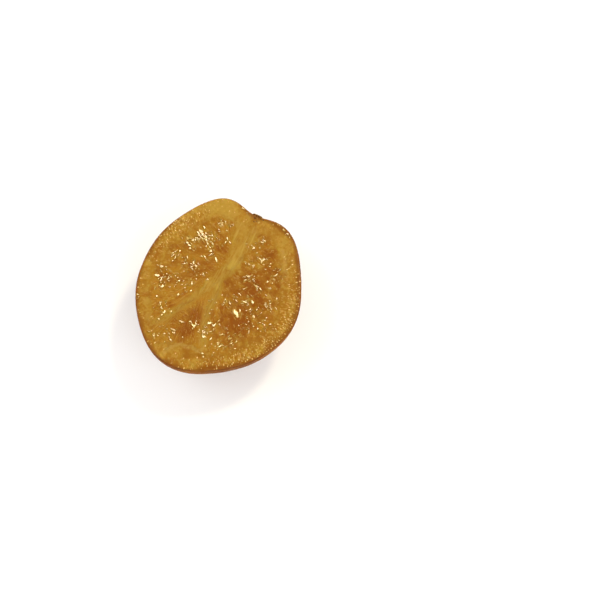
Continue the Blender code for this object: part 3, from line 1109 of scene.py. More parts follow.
# %% Scatter the sacs and melt them together
UPRIGHT = (0.0, 0.0, 1.0)
SAC_SMALLEST = (0.55, 0.65, 0.85)
SAC_LARGEST = (1.10, 1.20, 1.10)
SAC_DENSITY = 5.0e6
SAC_TOP = 0.17
SAC_TOP_SLOPE = 0.15
SAC_PLUMPNESS = 0.6
MELT_THRESHOLD = 0.3
MELT_ADAPTIVITY = 0.04
SAC_SIZES = {
    "Length": 0.0078,
    "Width": 0.0027,
    "Thickness": 0.0030,
    "Spacing": 0.00165,
    "Lean": math.radians(18.0),
    "Tip": math.radians(12.0),
    "Roll": math.radians(18.0),
    "Voxel": 0.00024,
    "Seed": 5,
}


def scatter(bench, given, density, **more):
    """Points on a mesh, no two of them nearer than the spacing."""
    sockets = {"Mesh": given["Geometry"], "Distance Min": given["Spacing"], "Density Max": density}
    settings = {"distribute_method": "POISSON"}
    sockets = {**sockets, "Seed": given["Seed"], **more}
    return bench.node("GeometryNodeDistributePointsOnFaces", settings, sockets)


def sac_drop(bench, given):
    """One sac: a ball drawn out, plumper towards its outer end and flattened on top."""
    ball = bench.node("GeometryNodeMeshUVSphere", {}, {"Segments": 10, "Rings": 7, "Radius": 0.5})
    place = bench.node("GeometryNodeInputPosition")
    along, across, above = (bench.axis(place, letter) for letter in "XYZ")
    lid = above * SAC_TOP_SLOPE + SAC_TOP
    sliced = bench.node("ShaderNodeMath", {"operation": "MINIMUM"}, {0: above, 1: lid})
    plump = along * SAC_PLUMPNESS + 1.0
    width = across * plump * given["Width"]
    stretch = bench.joined(along * given["Length"], width, sliced * given["Thickness"])
    return bench.node("GeometryNodeSetPosition", {}, {"Geometry": ball, "Position": stretch})


def melt(bench, geometry, voxel):
    """Solids that cross each other as one skin, by way of a volume."""
    settings = {"resolution_mode": "VOXEL_SIZE"}
    sockets = {"Mesh": geometry, "Voxel Size": voxel, "Interior Band Width": voxel * 2.0}
    volume = bench.node("GeometryNodeMeshToVolume", settings, sockets)
    sockets = {"Threshold": MELT_THRESHOLD, "Adaptivity": MELT_ADAPTIVITY}
    sockets = {"Volume": volume, "Voxel Size": voxel, **sockets}
    return bench.node("GeometryNodeVolumeToMesh", settings, sockets)


def sac_tree():
    inputs = {name: WHOLE if name == "Seed" else NUMBER for name in SAC_SIZES}
    bench, given = new_tree("juice_sacs", {**inputs, "Finish": FINISH})
    up = bench.axis(bench.node("GeometryNodeInputNormal"), "Z") > 0.5
    points = scatter(bench, given, SAC_DENSITY, Selection=up)
    aim = bench.aim("X", "Z", bench.stored("way", "FLOAT_VECTOR"), UPRIGHT)
    swing = bench.joined(given["Roll"], given["Tip"], given["Lean"])
    turn = bench.random_vector(bench.scaled(swing, -1.0), swing, given["Seed"])
    turn = bench.node("FunctionNodeEulerToRotation", {}, {0: turn})
    turned = bench.node("FunctionNodeRotateRotation", {"rotation_space": "LOCAL"}, {0: aim, 1: turn})
    size = bench.random_vector(SAC_SMALLEST, SAC_LARGEST, given["Seed"] + 1.0)
    copies = bench.copies(points, sac_drop(bench, given), turned, size)
    named = bench.store(copies, "shade", bench.random(0.0, 1.0, given["Seed"] + 2.0), "INSTANCE")
    real = bench.node("GeometryNodeRealizeInstances", {}, {"Geometry": named})
    joined = bench.node("GeometryNodeJoinGeometry", {}, {"Geometry": [given["Geometry"], real]})
    melted = melt(bench, joined, given["Voxel"])
    sockets = {"Mesh": real, "Value": bench.stored("shade")}
    nearest = bench.node("GeometryNodeSampleNearestSurface", {"data_type": "FLOAT"}, sockets)
    kept = bench.store(melted, "shade", nearest, "POINT")
    close_tree(bench, kept, given["Finish"])
    return bench


run_tree(sacs, sac_tree(), {**SAC_SIZES, "Finish": pulp_finish()})

# %% [markdown]
# The knife left the sacs level with the peel, and syrup filled the creases between them. So their
# relief is pressed to a few tenths of a millimetre, and it fades out where the pulp meets a wall.
# There the pulp slips under the peel at a very flat angle, which leaves no line between the two.
# Each point also learns whether it lies in a crease, by comparing its height with a blurred copy.

# %% Press the sacs to the cut
CUT_LEVEL = -0.0003
SURFACE_LEVEL = 0.00005
PRESSED = 0.16
BED_MIDDLE = 0.5 * (BED_TOP + BED_BOTTOM)
SEAM_RISE = 0.000012
SEAM_WIDTH = 0.0004
SEAM_DIP = 0.4
SEAM_FADE = 0.0020
CREASE = 0.00005
CREASE_BLUR_ROUNDS = 14
PULP_EDGE = 0.0011
PULP_PITH_EDGE = 0.0018
SMALLEST_PIECE = 1000


def drop_specks(mesh, fewest):
    """Deletes what the volume left hanging apart from the pulp: pieces of fewer points than this."""
    builder = bmesh.new()
    builder.from_mesh(mesh)
    specks, seen = [], set()
    for seed in builder.verts:
        if seed in seen:
            continue
        piece, front = {seed}, [seed]
        while front:
            vertex = front.pop()
            for edge in vertex.link_edges:
                other = edge.other_vert(vertex)
                if other not in piece:
                    piece.add(other)
                    front.append(other)
        seen |= piece
        if len(piece) < fewest:
            specks += piece
    bmesh.ops.delete(builder, geom=specks, context="VERTS")
    builder.to_mesh(mesh)
    builder.free()
    print("points in specks taken off the pulp:", len(specks))


def blurred(values, edges, rounds):
    count = np.bincount(edges.ravel(), minlength=len(values)).astype(float)
    for _ in range(rounds):
        total = np.bincount(edges[:, 0], values[edges[:, 1]], len(values))
        total += np.bincount(edges[:, 1], values[edges[:, 0]], len(values))
        values = 0.5 * values + 0.5 * total / np.maximum(count, 1.0)
    return values


def press_sacs(mesh):
    points = points_of(mesh)
    x, y, z = points.T
    upper = z > BED_MIDDLE
    relief = SURFACE_LEVEL + PRESSED * (z - CUT_LEVEL)
    thick, thin = wall_distance(x, y)
    wall = np.minimum(thick, thin)
    seam = SEAM_RISE * np.clip(wall / SEAM_WIDTH, -1.0, 1.0) + SEAM_DIP * np.minimum(wall + SEAM_WIDTH, 0.0)
    inside = smooth_step((wall - SEAM_WIDTH) / SEAM_FADE)
    level = np.where(upper, seam + inside * (relief - seam), z)
    edges = np.zeros(len(mesh.edges) * 2, np.int32)
    mesh.edges.foreach_get("vertices", edges)
    edges = edges.reshape(-1, 2)
    crest = (level - blurred(level, edges, CREASE_BLUR_ROUNDS)) / CREASE
    set_attribute(mesh, "crest", np.clip(crest * inside, -1.5, 1.5))
    set_attribute(mesh, "edge", 1.0 - smooth_step(wall / PULP_EDGE))
    set_attribute(mesh, "pith", 1.0 - smooth_step(thin / PULP_PITH_EDGE))
    set_attribute(mesh, "stain", sum_of_spots(x, y, STAINS))
    set_attribute(mesh, "tone", sum_of_spots(x, y, TONES))
    set_attribute(mesh, "fold", fold_mask(x, y))
    set_attribute(mesh, "lane", sac_lane(x, y))
    move_points(mesh, np.column_stack((x - MIDDLE[0], y - MIDDLE[1], level + KNIFE_HEIGHT)))


drop_specks(sacs.data, SMALLEST_PIECE)
press_sacs(sacs.data)
print("sacs: highest point", (points_of(sacs.data)[:, 2].max() - KNIFE_HEIGHT) / MM, "mm over the cut")

# %% [markdown]
# ## Threads of the pith
# The column and the membranes are bundles of fine threads. Each bundle starts as one line along
# the wall. Geometry Nodes copy it, push the copies sideways within the bundle's width, let noise
# bend them, and sweep a thin round section along each.


# %% Spin the threads
LINE_STEPS = 40
LINE_SMOOTHING = 6
THREAD_BEND_GRAIN = 0.006
THREAD_BEND_DEPTH = 0.22  # threads bend less up and down than sideways
THREAD_HOP = 0.01
THREAD_GIRTH_GRAIN = 0.005
THREAD_THINNEST = 0.4
THREAD_SIZES = {"Threads": 7, "Thickness": 0.00007, "Waver": 0.0024, "Sink": 0.00006, "Seed": 3}


def bundle_line(strokes):
    """Open lines along the walls, with a sideways direction and a half width at each point."""
    points, edges, sides, spreads = [], [], [], []
    for stroke, half_widths in strokes:
        stroke = np.array(stroke)
        travelled = np.concatenate(([0.0], np.cumsum(np.linalg.norm(np.diff(stroke, axis=0), axis=1))))
        at = np.linspace(0.0, travelled[-1], LINE_STEPS)
        x = np.interp(at, travelled, stroke[:, 0])
        y = np.interp(at, travelled, stroke[:, 1])
        for _ in range(LINE_SMOOTHING):
            for line in (x, y):
                line[1:-1] = (line[:-2] + 2.0 * line[1:-1] + line[2:]) / 4.0
        run = np.column_stack((np.gradient(x), np.gradient(y)))
        run /= np.linalg.norm(run, axis=1)[:, None]
        first = len(points)
        points += [(px - MIDDLE[0], py - MIDDLE[1], KNIFE_HEIGHT) for px, py in zip(x, y)]
        edges += [(first + i, first + i + 1) for i in range(LINE_STEPS - 1)]
        sides += [(-ry, rx, 0.0) for rx, ry in run]
        spreads += list(np.interp(at, travelled, half_widths))
    mesh = bpy.data.meshes.new("pith_threads")
    mesh.from_pydata(points, edges, [])
    set_attribute(mesh, "side", sides)
    set_attribute(mesh, "spread", spreads)
    return linked("pith_threads", mesh)


def thread_tree():
    inputs = {name: NUMBER if isinstance(value, float) else WHOLE for name, value in THREAD_SIZES.items()}
    bench, given = new_tree("pith_threads", {**inputs, "Finish": FINISH})
    line = bench.node("GeometryNodeMeshToCurve", {}, {"Mesh": given["Geometry"]})
    maker = bench.tree.nodes.new("GeometryNodeDuplicateElements")
    maker.domain = "SPLINE"
    bench.fill(maker, {"Geometry": line, "Amount": given["Threads"]})
    copies, copy_number = (Wire(bench, socket) for socket in maker.outputs)
    lane = bench.random(-1.0, 1.0, given["Seed"], ID=copy_number)
    shift = bench.scaled(bench.stored("side", "FLOAT_VECTOR"), lane * bench.stored("spread"))
    place = bench.node("GeometryNodeInputPosition")
    hop = bench.joined(0.0, 0.0, copy_number * THREAD_HOP)
    bend = bench.noise(bench.vector("ADD", place, hop), THREAD_BEND_GRAIN, out="Color")
    bend = bench.stray(bend, given["Waver"])
    bend = bench.vector("MULTIPLY", bend, (1.0, 1.0, THREAD_BEND_DEPTH))
    down = bench.joined(0.0, 0.0, given["Sink"] * -1.0)
    laid = bench.moved(copies, bench.vector("ADD", bench.vector("ADD", shift, bend), down))
    girth = bench.noise(bench.vector("ADD", place, shift), THREAD_GIRTH_GRAIN, 1.0)
    sockets = {"Curve": laid, "Radius": girth.fade(0.2, 0.8) + THREAD_THINNEST}
    sized = bench.node("GeometryNodeSetCurveRadius", {}, sockets)
    sockets = {"Resolution": 6, "Radius": given["Thickness"]}
    ring = bench.node("GeometryNodeCurvePrimitiveCircle", {}, sockets)
    girth_again = bench.node("GeometryNodeInputRadius")
    sockets = {"Curve": sized, "Profile Curve": ring, "Scale": girth_again, "Fill Caps": True}
    swept = bench.node("GeometryNodeCurveToMesh", {}, sockets)
    close_tree(bench, swept, given["Finish"])
    return bench


COLUMN_SHARE = 0.85
COLUMN_BUNDLE = (COLUMN, [COLUMN_SHARE * width for width in COLUMN_HALF_WIDTHS])
THIN_STROKES = (SIDE_MEMBRANE, LOWER_MEMBRANE, FOLD, RIGHT_SEAM)
SIDE_BUNDLES = [(stroke, [MEMBRANE_HALF_WIDTH] * len(stroke)) for stroke in THIN_STROKES]
threads = bundle_line([COLUMN_BUNDLE, *SIDE_BUNDLES])
run_tree(threads, thread_tree(), {**THREAD_SIZES, "Finish": thread_finish()})

# %% [markdown]
# ## Oil glands
# Along the edge of the cut the knife opened hundreds of oil glands. They show as pale wet beads in
# short rows that point at the skin, thick at the lower right and near the shoulder, and thin
# elsewhere; their paleness is partly painted glints. Points are scattered on the rim with a density
# that is stored on the rim's mesh.


# %% Set the oil glands
GLAND_BEARINGS = 240
GLAND_INSETS = np.linspace(0.0006, 0.0062, 15)
GLAND_DENSITY = 2.0e6
GLAND_FLATTENED = 0.7
GLAND_SMALLEST = 0.45
GLAND_SIZES = {"Length": 0.0010, "Width": 0.00055, "Spacing": 0.00066, "Seed": 8}


def gland_field():
    """The rim of the cut face as a flat sheet, with the glands' density and direction."""
    bearings = np.linspace(0.0, 2.0 * math.pi, GLAND_BEARINGS + 1)[:-1]
    bearing, inset = (part.ravel() for part in np.meshgrid(bearings, GLAND_INSETS))
    radius = face_radius(bearing) - inset
    x, y = radius * np.cos(bearing), radius * np.sin(bearing)
    rows = np.arange(len(GLAND_INSETS) - 1)[:, None] * GLAND_BEARINGS
    across = np.arange(GLAND_BEARINGS)
    start = (rows + across).ravel()
    after = (rows + (across + 1) % GLAND_BEARINGS).ravel()
    faces = np.column_stack((start, start + GLAND_BEARINGS, after + GLAND_BEARINGS, after))
    height = cut_height(x, y) + KNIFE_HEIGHT
    way = np.column_stack((np.cos(bearing), np.sin(bearing), np.zeros_like(bearing)))
    points = np.column_stack((x - MIDDLE[0], y - MIDDLE[1], height))
    return new_object("oil_glands", points, faces, {"density": oil_share(bearing, inset), "way": way})


def gland_tree():
    inputs = {name: WHOLE if name == "Seed" else NUMBER for name in GLAND_SIZES}
    bench, given = new_tree("oil_glands", {**inputs, "Finish": FINISH})
    points = scatter(bench, given, GLAND_DENSITY, **{"Density Factor": bench.stored("density")})
    aim = bench.aim("X", "Z", bench.stored("way", "FLOAT_VECTOR"), UPRIGHT)
    bead = bench.node("GeometryNodeMeshUVSphere", {}, {"Segments": 8, "Rings": 5, "Radius": 0.5})
    shape = bench.joined(given["Length"], given["Width"], given["Width"] * GLAND_FLATTENED)
    share = bench.random(GLAND_SMALLEST, 1.0, given["Seed"] + 1.0)
    copies = bench.copies(points, bead, aim, bench.scaled(shape, share))
    close_tree(bench, copies, given["Finish"])
    return bench


glands = gland_field()
run_tree(glands, gland_tree(), {**GLAND_SIZES, "Finish": gland_finish()})

# %% [markdown]
# ## Scraps under syrup
# The brightest glints of the photograph are scraps of sac wall under syrup that happen to face the
# lamp. They could be left to chance, but then they would fall elsewhere. So the larger ones are
# listed one by one, each with its pixel, length, width and turn, and the fine ones in small clusters.
# All of them lean the few degrees that throw the lamp at the camera.

# %% Choose the places of the glints
GLINTS = (  # pixel across, pixel down, length and width in mm, turn in degrees
    (201.0, 231.5, 2.6, 0.60, -48.0),
    (203.5, 234.0, 2.8, 0.50, -50.0),
    (199.2, 233.2, 1.8, 0.60, -48.0),
    (202.2, 237.6, 2.2, 0.45, -48.0),
    (204.9, 236.4, 2.4, 0.50, -50.0),
    (197.8, 238.3, 1.2, 0.50, -25.0),
    (208.4, 243.0, 1.6, 0.40, -50.0),
    (200.0, 235.5, 2.0, 0.45, -50.0),
    (206.5, 236.5, 1.8, 0.50, -45.0),
    (207.0, 240.0, 1.8, 0.60, -60.0),
    (210.0, 235.5, 1.5, 0.40, -40.0),
    (205.0, 227.0, 1.8, 0.45, -50.0),
    (188.0, 237.5, 1.6, 0.60, -60.0),
    (193.5, 240.0, 2.2, 0.65, 10.0),
    (189.0, 244.0, 1.6, 0.60, -50.0),
    (182.5, 237.5, 1.4, 0.40, -50.0),
    (217.5, 238.0, 1.5, 0.40, -45.0),
    (213.0, 243.5, 1.5, 0.45, -35.0),
    (201.5, 247.0, 1.2, 0.45, -30.0),
    (190.5, 248.0, 0.9, 0.60, 0.0),
    (228.0, 238.5, 1.8, 0.60, -75.0),
    (226.5, 242.0, 1.4, 0.60, 40.0),
    (230.5, 242.0, 1.4, 0.50, -45.0),
    (223.0, 221.5, 1.6, 0.50, -20.0),
    (219.5, 224.0, 1.3, 0.50, -70.0),
    (226.5, 223.0, 1.2, 0.60, -60.0),
    (222.5, 224.5, 1.2, 0.35, 60.0),
    (231.0, 226.0, 1.0, 0.45, -60.0),
    (211.0, 251.0, 1.3, 0.40, -30.0),
    (211.5, 254.0, 1.2, 0.40, 10.0),
    (205.5, 257.5, 2.6, 0.40, -52.0),
    (201.5, 256.0, 1.2, 0.35, 0.0),
    (216.3, 259.5, 2.2, 0.85, -50.0),
    (193.8, 262.5, 1.9, 0.85, -85.0),
    (191.8, 266.5, 1.5, 0.75, 10.0),
    (196.2, 266.0, 1.5, 0.75, -60.0),
    (187.5, 257.5, 1.4, 0.40, 65.0),
    (173.5, 252.5, 1.3, 0.50, -30.0),
    (175.5, 257.0, 1.6, 0.60, 75.0),
    (173.0, 255.0, 1.2, 0.40, 50.0),
    (180.2, 250.5, 0.8, 0.60, 0.0),
    (162.0, 265.8, 1.6, 1.10, 20.0),
    (157.3, 274.5, 1.9, 1.10, -35.0),
    (161.5, 278.3, 2.2, 0.50, 57.0),
    (162.6, 285.3, 2.4, 0.45, 57.0),
    (168.4, 278.2, 1.4, 0.50, 25.0),
    (155.0, 287.2, 1.1, 0.50, 65.0),
    (178.9, 280.5, 1.2, 0.45, -10.0),
    (182.4, 284.0, 1.3, 0.45, 40.0),
    (174.8, 285.6, 1.2, 0.35, 45.0),
    (191.7, 283.0, 1.6, 0.40, -75.0),
    (203.8, 275.0, 1.6, 0.50, -55.0),
    (207.3, 279.6, 0.8, 0.50, -60.0),
    (178.0, 294.2, 1.4, 0.45, 80.0),
    (156.7, 295.5, 0.9, 0.80, 0.0),
    (160.4, 302.5, 1.8, 0.80, 80.0),
    (158.8, 304.5, 1.1, 0.60, 20.0),
    (164.5, 311.2, 1.7, 0.90, 50.0),
    (161.7, 314.4, 1.1, 0.60, 40.0),
    (171.0, 310.8, 0.8, 0.70, 0.0),
    (158.5, 318.5, 1.3, 0.45, -50.0),
    (181.0, 321.2, 2.9, 0.50, -36.0),
    (192.7, 325.0, 1.5, 0.70, -50.0),
    (195.6, 323.5, 1.6, 0.50, -60.0),
    (189.8, 321.0, 1.1, 0.50, 5.0),
    (172.9, 329.0, 1.9, 0.55, -40.0),
    (172.8, 331.8, 1.3, 0.40, -35.0),
    (153.6, 334.0, 1.6, 0.70, 65.0),
    (154.0, 337.0, 1.0, 0.80, 0.0),
    (170.4, 339.0, 1.4, 0.50, -15.0),
    (169.2, 336.0, 1.0, 0.40, 60.0),
    (182.4, 336.6, 0.7, 0.60, 0.0),
    (208.1, 323.0, 1.1, 0.90, 0.0),
    (213.5, 325.0, 2.3, 0.55, 50.0),
    (218.3, 320.6, 1.8, 0.40, 35.0),
    (219.0, 324.5, 1.1, 0.40, -70.0),
    (197.8, 331.0, 1.0, 0.80, 0.0),
    (203.8, 332.0, 1.2, 0.90, -40.0),
    (202.9, 336.0, 1.3, 1.00, -30.0),
    (209.7, 338.3, 1.5, 0.50, 68.0),
    (204.2, 345.3, 1.1, 0.90, 0.0),
    (202.6, 355.8, 0.8, 0.60, 0.0),
    (201.8, 352.8, 0.8, 0.55, -40.0),
    (217.3, 343.2, 1.4, 0.50, 45.0),
    (219.0, 346.0, 1.7, 0.80, 20.0),
    (221.6, 344.8, 1.0, 0.50, -50.0),
    (221.3, 334.3, 2.8, 0.40, 20.0),
    (225.8, 328.3, 1.1, 0.45, -50.0),
    (253.8, 248.7, 2.0, 0.85, 30.0),
    (260.1, 248.0, 1.1, 0.85, -60.0),
    (265.4, 241.3, 1.2, 0.35, -10.0),
    (260.5, 260.0, 2.6, 0.45, -38.0),
    (263.5, 260.5, 1.8, 0.40, 25.0),
    (261.8, 262.5, 1.2, 0.50, -80.0),
    (249.2, 264.8, 1.1, 0.40, -75.0),
    (253.1, 267.5, 1.6, 0.45, -65.0),
    (271.2, 264.5, 0.8, 0.60, 30.0),
    (269.5, 267.0, 1.3, 0.35, 0.0),
    (266.0, 270.0, 0.8, 0.50, 0.0),
    (248.6, 277.0, 1.8, 0.50, 25.0),
    (245.3, 280.6, 1.4, 0.45, 33.0),
    (253.3, 279.6, 1.3, 0.40, 22.0),
    (256.6, 287.0, 1.7, 0.50, 0.0),
    (260.6, 289.8, 2.0, 0.60, -42.0),
    (257.0, 289.8, 1.1, 0.30, -60.0),
    (257.9, 297.3, 1.1, 0.50, -50.0),
    (267.4, 282.6, 1.0, 0.45, 20.0),
    (277.0, 275.2, 1.0, 0.35, 30.0),
    (269.4, 288.8, 1.2, 0.45, 0.0),
    (276.0, 299.5, 0.9, 0.60, 0.0),
    (244.3, 302.5, 2.1, 0.50, -25.0),
    (252.0, 302.6, 1.8, 0.90, -55.0),
    (229.5, 303.0, 1.8, 0.45, -45.0),
    (239.4, 294.5, 1.8, 0.35, -45.0),
    (235.0, 312.5, 2.4, 1.50, -40.0),
    (236.8, 315.8, 1.6, 0.80, -65.0),
    (239.4, 311.0, 1.3, 0.50, -75.0),
    (249.8, 309.8, 1.1, 0.50, 20.0),
    (252.9, 316.5, 1.7, 0.75, -65.0),
    (265.4, 318.3, 0.9, 0.50, -70.0),
    (263.3, 325.2, 1.1, 0.70, -20.0),
    (269.3, 324.6, 0.9, 0.40, 20.0),
    (245.0, 324.8, 1.2, 0.45, -10.0),
    (247.8, 332.0, 1.5, 0.35, 55.0),
    (270.5, 309.5, 1.5, 0.30, -50.0),
    (244.2, 207.8, 1.2, 0.45, -60.0),
    (248.3, 213.0, 1.3, 0.45, -55.0),
    (285.0, 230.5, 1.1, 0.40, -50.0),
    (288.7, 234.5, 1.4, 0.50, -60.0),
    (290.5, 238.0, 1.1, 0.40, -70.0),
    (137.8, 293.4, 1.1, 0.35, 0.0),
    (137.4, 297.4, 1.3, 0.40, 0.0),
)
CLUSTERS = (  # the same, after how many scraps and their spread in mm
    (202.0, 235.0, 26, 2.8, 1.1, 0.32, -50.0),
    (189.0, 241.0, 22, 2.8, 0.9, 0.30, -40.0),
    (214.0, 238.0, 22, 3.0, 0.9, 0.30, -45.0),
    (223.5, 222.0, 12, 1.8, 0.8, 0.30, -50.0),
    (231.5, 226.0, 5, 1.2, 0.6, 0.32, -60.0),
    (175.0, 253.0, 12, 2.4, 0.7, 0.32, 50.0),
    (212.0, 252.0, 10, 1.8, 0.8, 0.30, -30.0),
    (186.0, 262.0, 12, 2.6, 0.8, 0.30, -20.0),
    (196.0, 270.0, 14, 3.6, 0.8, 0.28, -45.0),
    (163.0, 269.0, 10, 2.6, 0.6, 0.32, -30.0),
    (161.0, 282.0, 16, 2.6, 0.9, 0.30, 58.0),
    (170.0, 276.0, 12, 2.8, 0.7, 0.28, 20.0),
    (182.0, 284.0, 22, 4.4, 0.8, 0.28, 30.0),
    (162.0, 305.0, 14, 2.6, 0.7, 0.30, 60.0),
    (205.0, 330.0, 18, 2.8, 0.7, 0.32, 45.0),
    (163.0, 331.0, 14, 3.6, 0.7, 0.30, -30.0),
    (192.0, 324.0, 8, 2.2, 0.7, 0.30, -50.0),
    (214.0, 322.0, 10, 2.4, 0.8, 0.30, 45.0),
    (231.0, 341.0, 18, 2.2, 1.1, 0.32, 35.0),
    (219.0, 345.0, 10, 1.8, 0.8, 0.30, 20.0),
    (208.0, 352.0, 10, 3.2, 0.5, 0.32, 20.0),
    (256.0, 246.0, 8, 2.8, 0.7, 0.30, 30.0),
    (266.0, 241.0, 8, 2.0, 0.8, 0.26, -10.0),
    (262.0, 261.0, 14, 2.6, 0.8, 0.28, -20.0),
    (250.0, 266.0, 8, 2.4, 0.8, 0.28, -60.0),
    (248.0, 279.0, 16, 2.6, 0.9, 0.30, 25.0),
    (276.0, 277.0, 22, 3.4, 0.8, 0.28, 30.0),
    (258.0, 289.0, 8, 2.2, 0.8, 0.26, -40.0),
    (231.0, 300.0, 18, 3.0, 0.8, 0.28, -50.0),
    (246.0, 303.0, 12, 2.8, 0.8, 0.28, -20.0),
    (213.0, 305.0, 14, 3.8, 0.5, 0.30, -45.0),
    (266.5, 306.0, 24, 3.2, 0.9, 0.28, -50.0),
    (254.0, 315.0, 18, 3.6, 0.8, 0.28, 20.0),
    (243.0, 326.0, 12, 3.2, 0.7, 0.28, 20.0),
    (260.0, 326.0, 14, 3.6, 0.7, 0.28, 20.0),
)
print("glints:", len(GLINTS) + sum(row[2] for row in CLUSTERS))

# %% [markdown]
# ## Camera
# The photograph was taken from far away with a long lens, looking down on the face about eighteen
# degrees off its upright, with the fruit left of the middle. The camera stands on that line of
# sight and is then turned, so that the fruit falls on its own pixel. No shift is needed.

# %% Stand the camera
LENS_MM = 135.0
SENSOR_MM = 36.0
CLIP_START = 0.01
sight = Vector((
    math.sin(VIEW_AZIMUTH) * math.cos(VIEW_ELEVATION),
    -math.cos(VIEW_AZIMUTH) * math.cos(VIEW_ELEVATION),
    math.sin(VIEW_ELEVATION),
))
target = Vector((-MIDDLE[0], -MIDDLE[1], KNIFE_HEIGHT))
distance = MM_PER_PIXEL * MM * FRAME_PIXELS * LENS_MM / SENSOR_MM
camera_data = bpy.data.cameras.new("camera")
camera_data.lens = LENS_MM
camera_data.sensor_width = SENSOR_MM
camera = linked("camera", camera_data)
bpy.context.scene.camera = camera
pixel_angle = SENSOR_MM / FRAME_PIXELS / LENS_MM
turn_left = math.atan((FRAME_PIXELS / 2 - MIDDLE_PIXEL[0]) * pixel_angle)
turn_down = math.atan((FRAME_PIXELS / 2 - MIDDLE_PIXEL[1]) * pixel_angle)
facing = sight.to_track_quat("Z", "Y").to_matrix()
facing = facing @ Matrix.Rotation(-turn_left, 3, "Y") @ Matrix.Rotation(-turn_down, 3, "X")
camera.matrix_world = Matrix.Translation(target + sight * distance) @ facing.to_4x4()
camera_data.clip_start = CLIP_START
print("camera at", [round(value, 3) for value in camera.location], "distance", round(distance, 3))

# %% [markdown]
# ## Studio
# A small bright lamp stands almost where the level cut face would mirror it into the lens, a few
# degrees to the right, so only what leans towards it glints. Two soft panels and a sky that is
# brightest half way up fill the rest. Overhead the sky is dim, so that no haze lies on the wet face.
# Low down it is calm too, and the panels hang high, because a view from the side would see them
# mirrored in the face. The floor is a plain near-white sheet.

# %% Light the studio
LAMP_RISE = math.radians(37.0)
LAMP_ASIDE = math.radians(19.0)
LAMP_DISTANCE = 1.2
LAMP_SIZE = 0.18
LAMP_WATTS = 3.6
LAMP_COLOUR = (1.0, 0.90, 0.62)
PANEL_WATTS = 2.3
PANEL_SIZE = 0.8
LEFT_PANEL = Vector((-0.66, -0.27, 0.98))
RIGHT_PANEL = Vector((0.62, -0.43, 0.98))
SKY_COLOUR = colour(1.0, 0.99, 0.98)
SKY_LOW = 0.45
SKY_RISES_FROM = 0.25
SKY_RISES_TO = 0.55
SKY_LEVEL = 2.45
SKY_DIMS_FROM = 0.55
SKY_DIMMED_AT = 0.90
SKY_TOP = 0.10


def area_light(name, place, size, watts, tint=(1.0, 1.0, 1.0)):
    data = bpy.data.lights.new(name, "AREA")
    data.shape = "DISK"
    data.size = size
    data.energy = watts
    data.color = tint
    made = linked(name, data)
    made.location = place
    made.rotation_mode = "QUATERNION"
    made.rotation_quaternion = (place - target).to_track_quat("Z", "Y")


image_right = Vector((math.cos(VIEW_AZIMUTH), math.sin(VIEW_AZIMUTH), 0.0))
image_up = sight.cross(image_right)
to_lamp = math.cos(LAMP_ASIDE) * (math.cos(LAMP_RISE) * sight + math.sin(LAMP_RISE) * image_up)
to_lamp += math.sin(LAMP_ASIDE) * image_right
area_light("lamp", target + to_lamp * LAMP_DISTANCE, LAMP_SIZE, LAMP_WATTS, LAMP_COLOUR)
area_light("left_panel", target + LEFT_PANEL, PANEL_SIZE, PANEL_WATTS)
area_light("right_panel", target + RIGHT_PANEL, PANEL_SIZE, PANEL_WATTS)
world = bpy.data.worlds.new("studio")
bpy.context.scene.world = world
world.use_nodes = True
sky = Bench(world.node_tree)
height = sky.axis(sky.node("ShaderNodeTexCoord", out="Generated"), "Z")
ring = height.fade(SKY_RISES_FROM, SKY_RISES_TO) * (SKY_LEVEL - SKY_LOW) + SKY_LOW
dimmed = height.fade(SKY_DIMS_FROM, SKY_DIMMED_AT)
strength = ring * (1.0 - dimmed) + dimmed * SKY_TOP
sky.fill(world.node_tree.nodes["Background"], {"Color": SKY_COLOUR, "Strength": strength})
bpy.context.scene.view_settings.view_transform = "Standard"
print("lamp, in m:", [round(value, 3) for value in target + to_lamp * LAMP_DISTANCE])

# %% [markdown]
# The photograph's ground is an even white. A floor that is nearly white and hardly shines takes the
# fruit's soft shadow and shows no edge, because it is far larger than what the camera sees.

# %% Lay the floor
FLOOR_SIZE = 6.0
FLOOR_WHITE = colour(0.96, 0.96, 0.96)
bpy.ops.mesh.primitive_plane_add(size=FLOOR_SIZE, location=(0.0, 0.0, 0.0))
floor = bpy.context.object
floor.name = "floor"
floor_finish, bench, shader, _ = new_finish("floor")
bench.fill(shader, {"Base Color": FLOOR_WHITE, "Roughness": 0.9, "Specular IOR Level": 0.1})
floor.data.materials.append(floor_finish)

# %% [markdown]
# ## The scraps themselves
# They lean half way between the line of sight and the lamp, as a mirror would, so they come after
# both. Each is a low block of nine corners, wider at its foot. A fine noise pushes the corners about,
# but only sideways, so that the top stays flat and throws the whole lamp.


# %% Lay the scraps
SCRAP_SEED = 4
SCRAP_CORNERS = 9
SCRAP_THICKNESS = 0.0004
SCRAP_RISE = 0.00006
SCRAP_LEAN = 0.012
FINE_LEAN = 0.026
SCRAP_SCATTER = 0.6  # of a cluster's spread
SCRAP_TURNS = 10.0
SCRAP_SHARES = (0.8, 1.1)
SCRAP_TOP = 0.42
SCRAP_FOOT = 0.6
SCRAP_WAVER = 0.0010
SCRAP_GRAIN = 0.0007


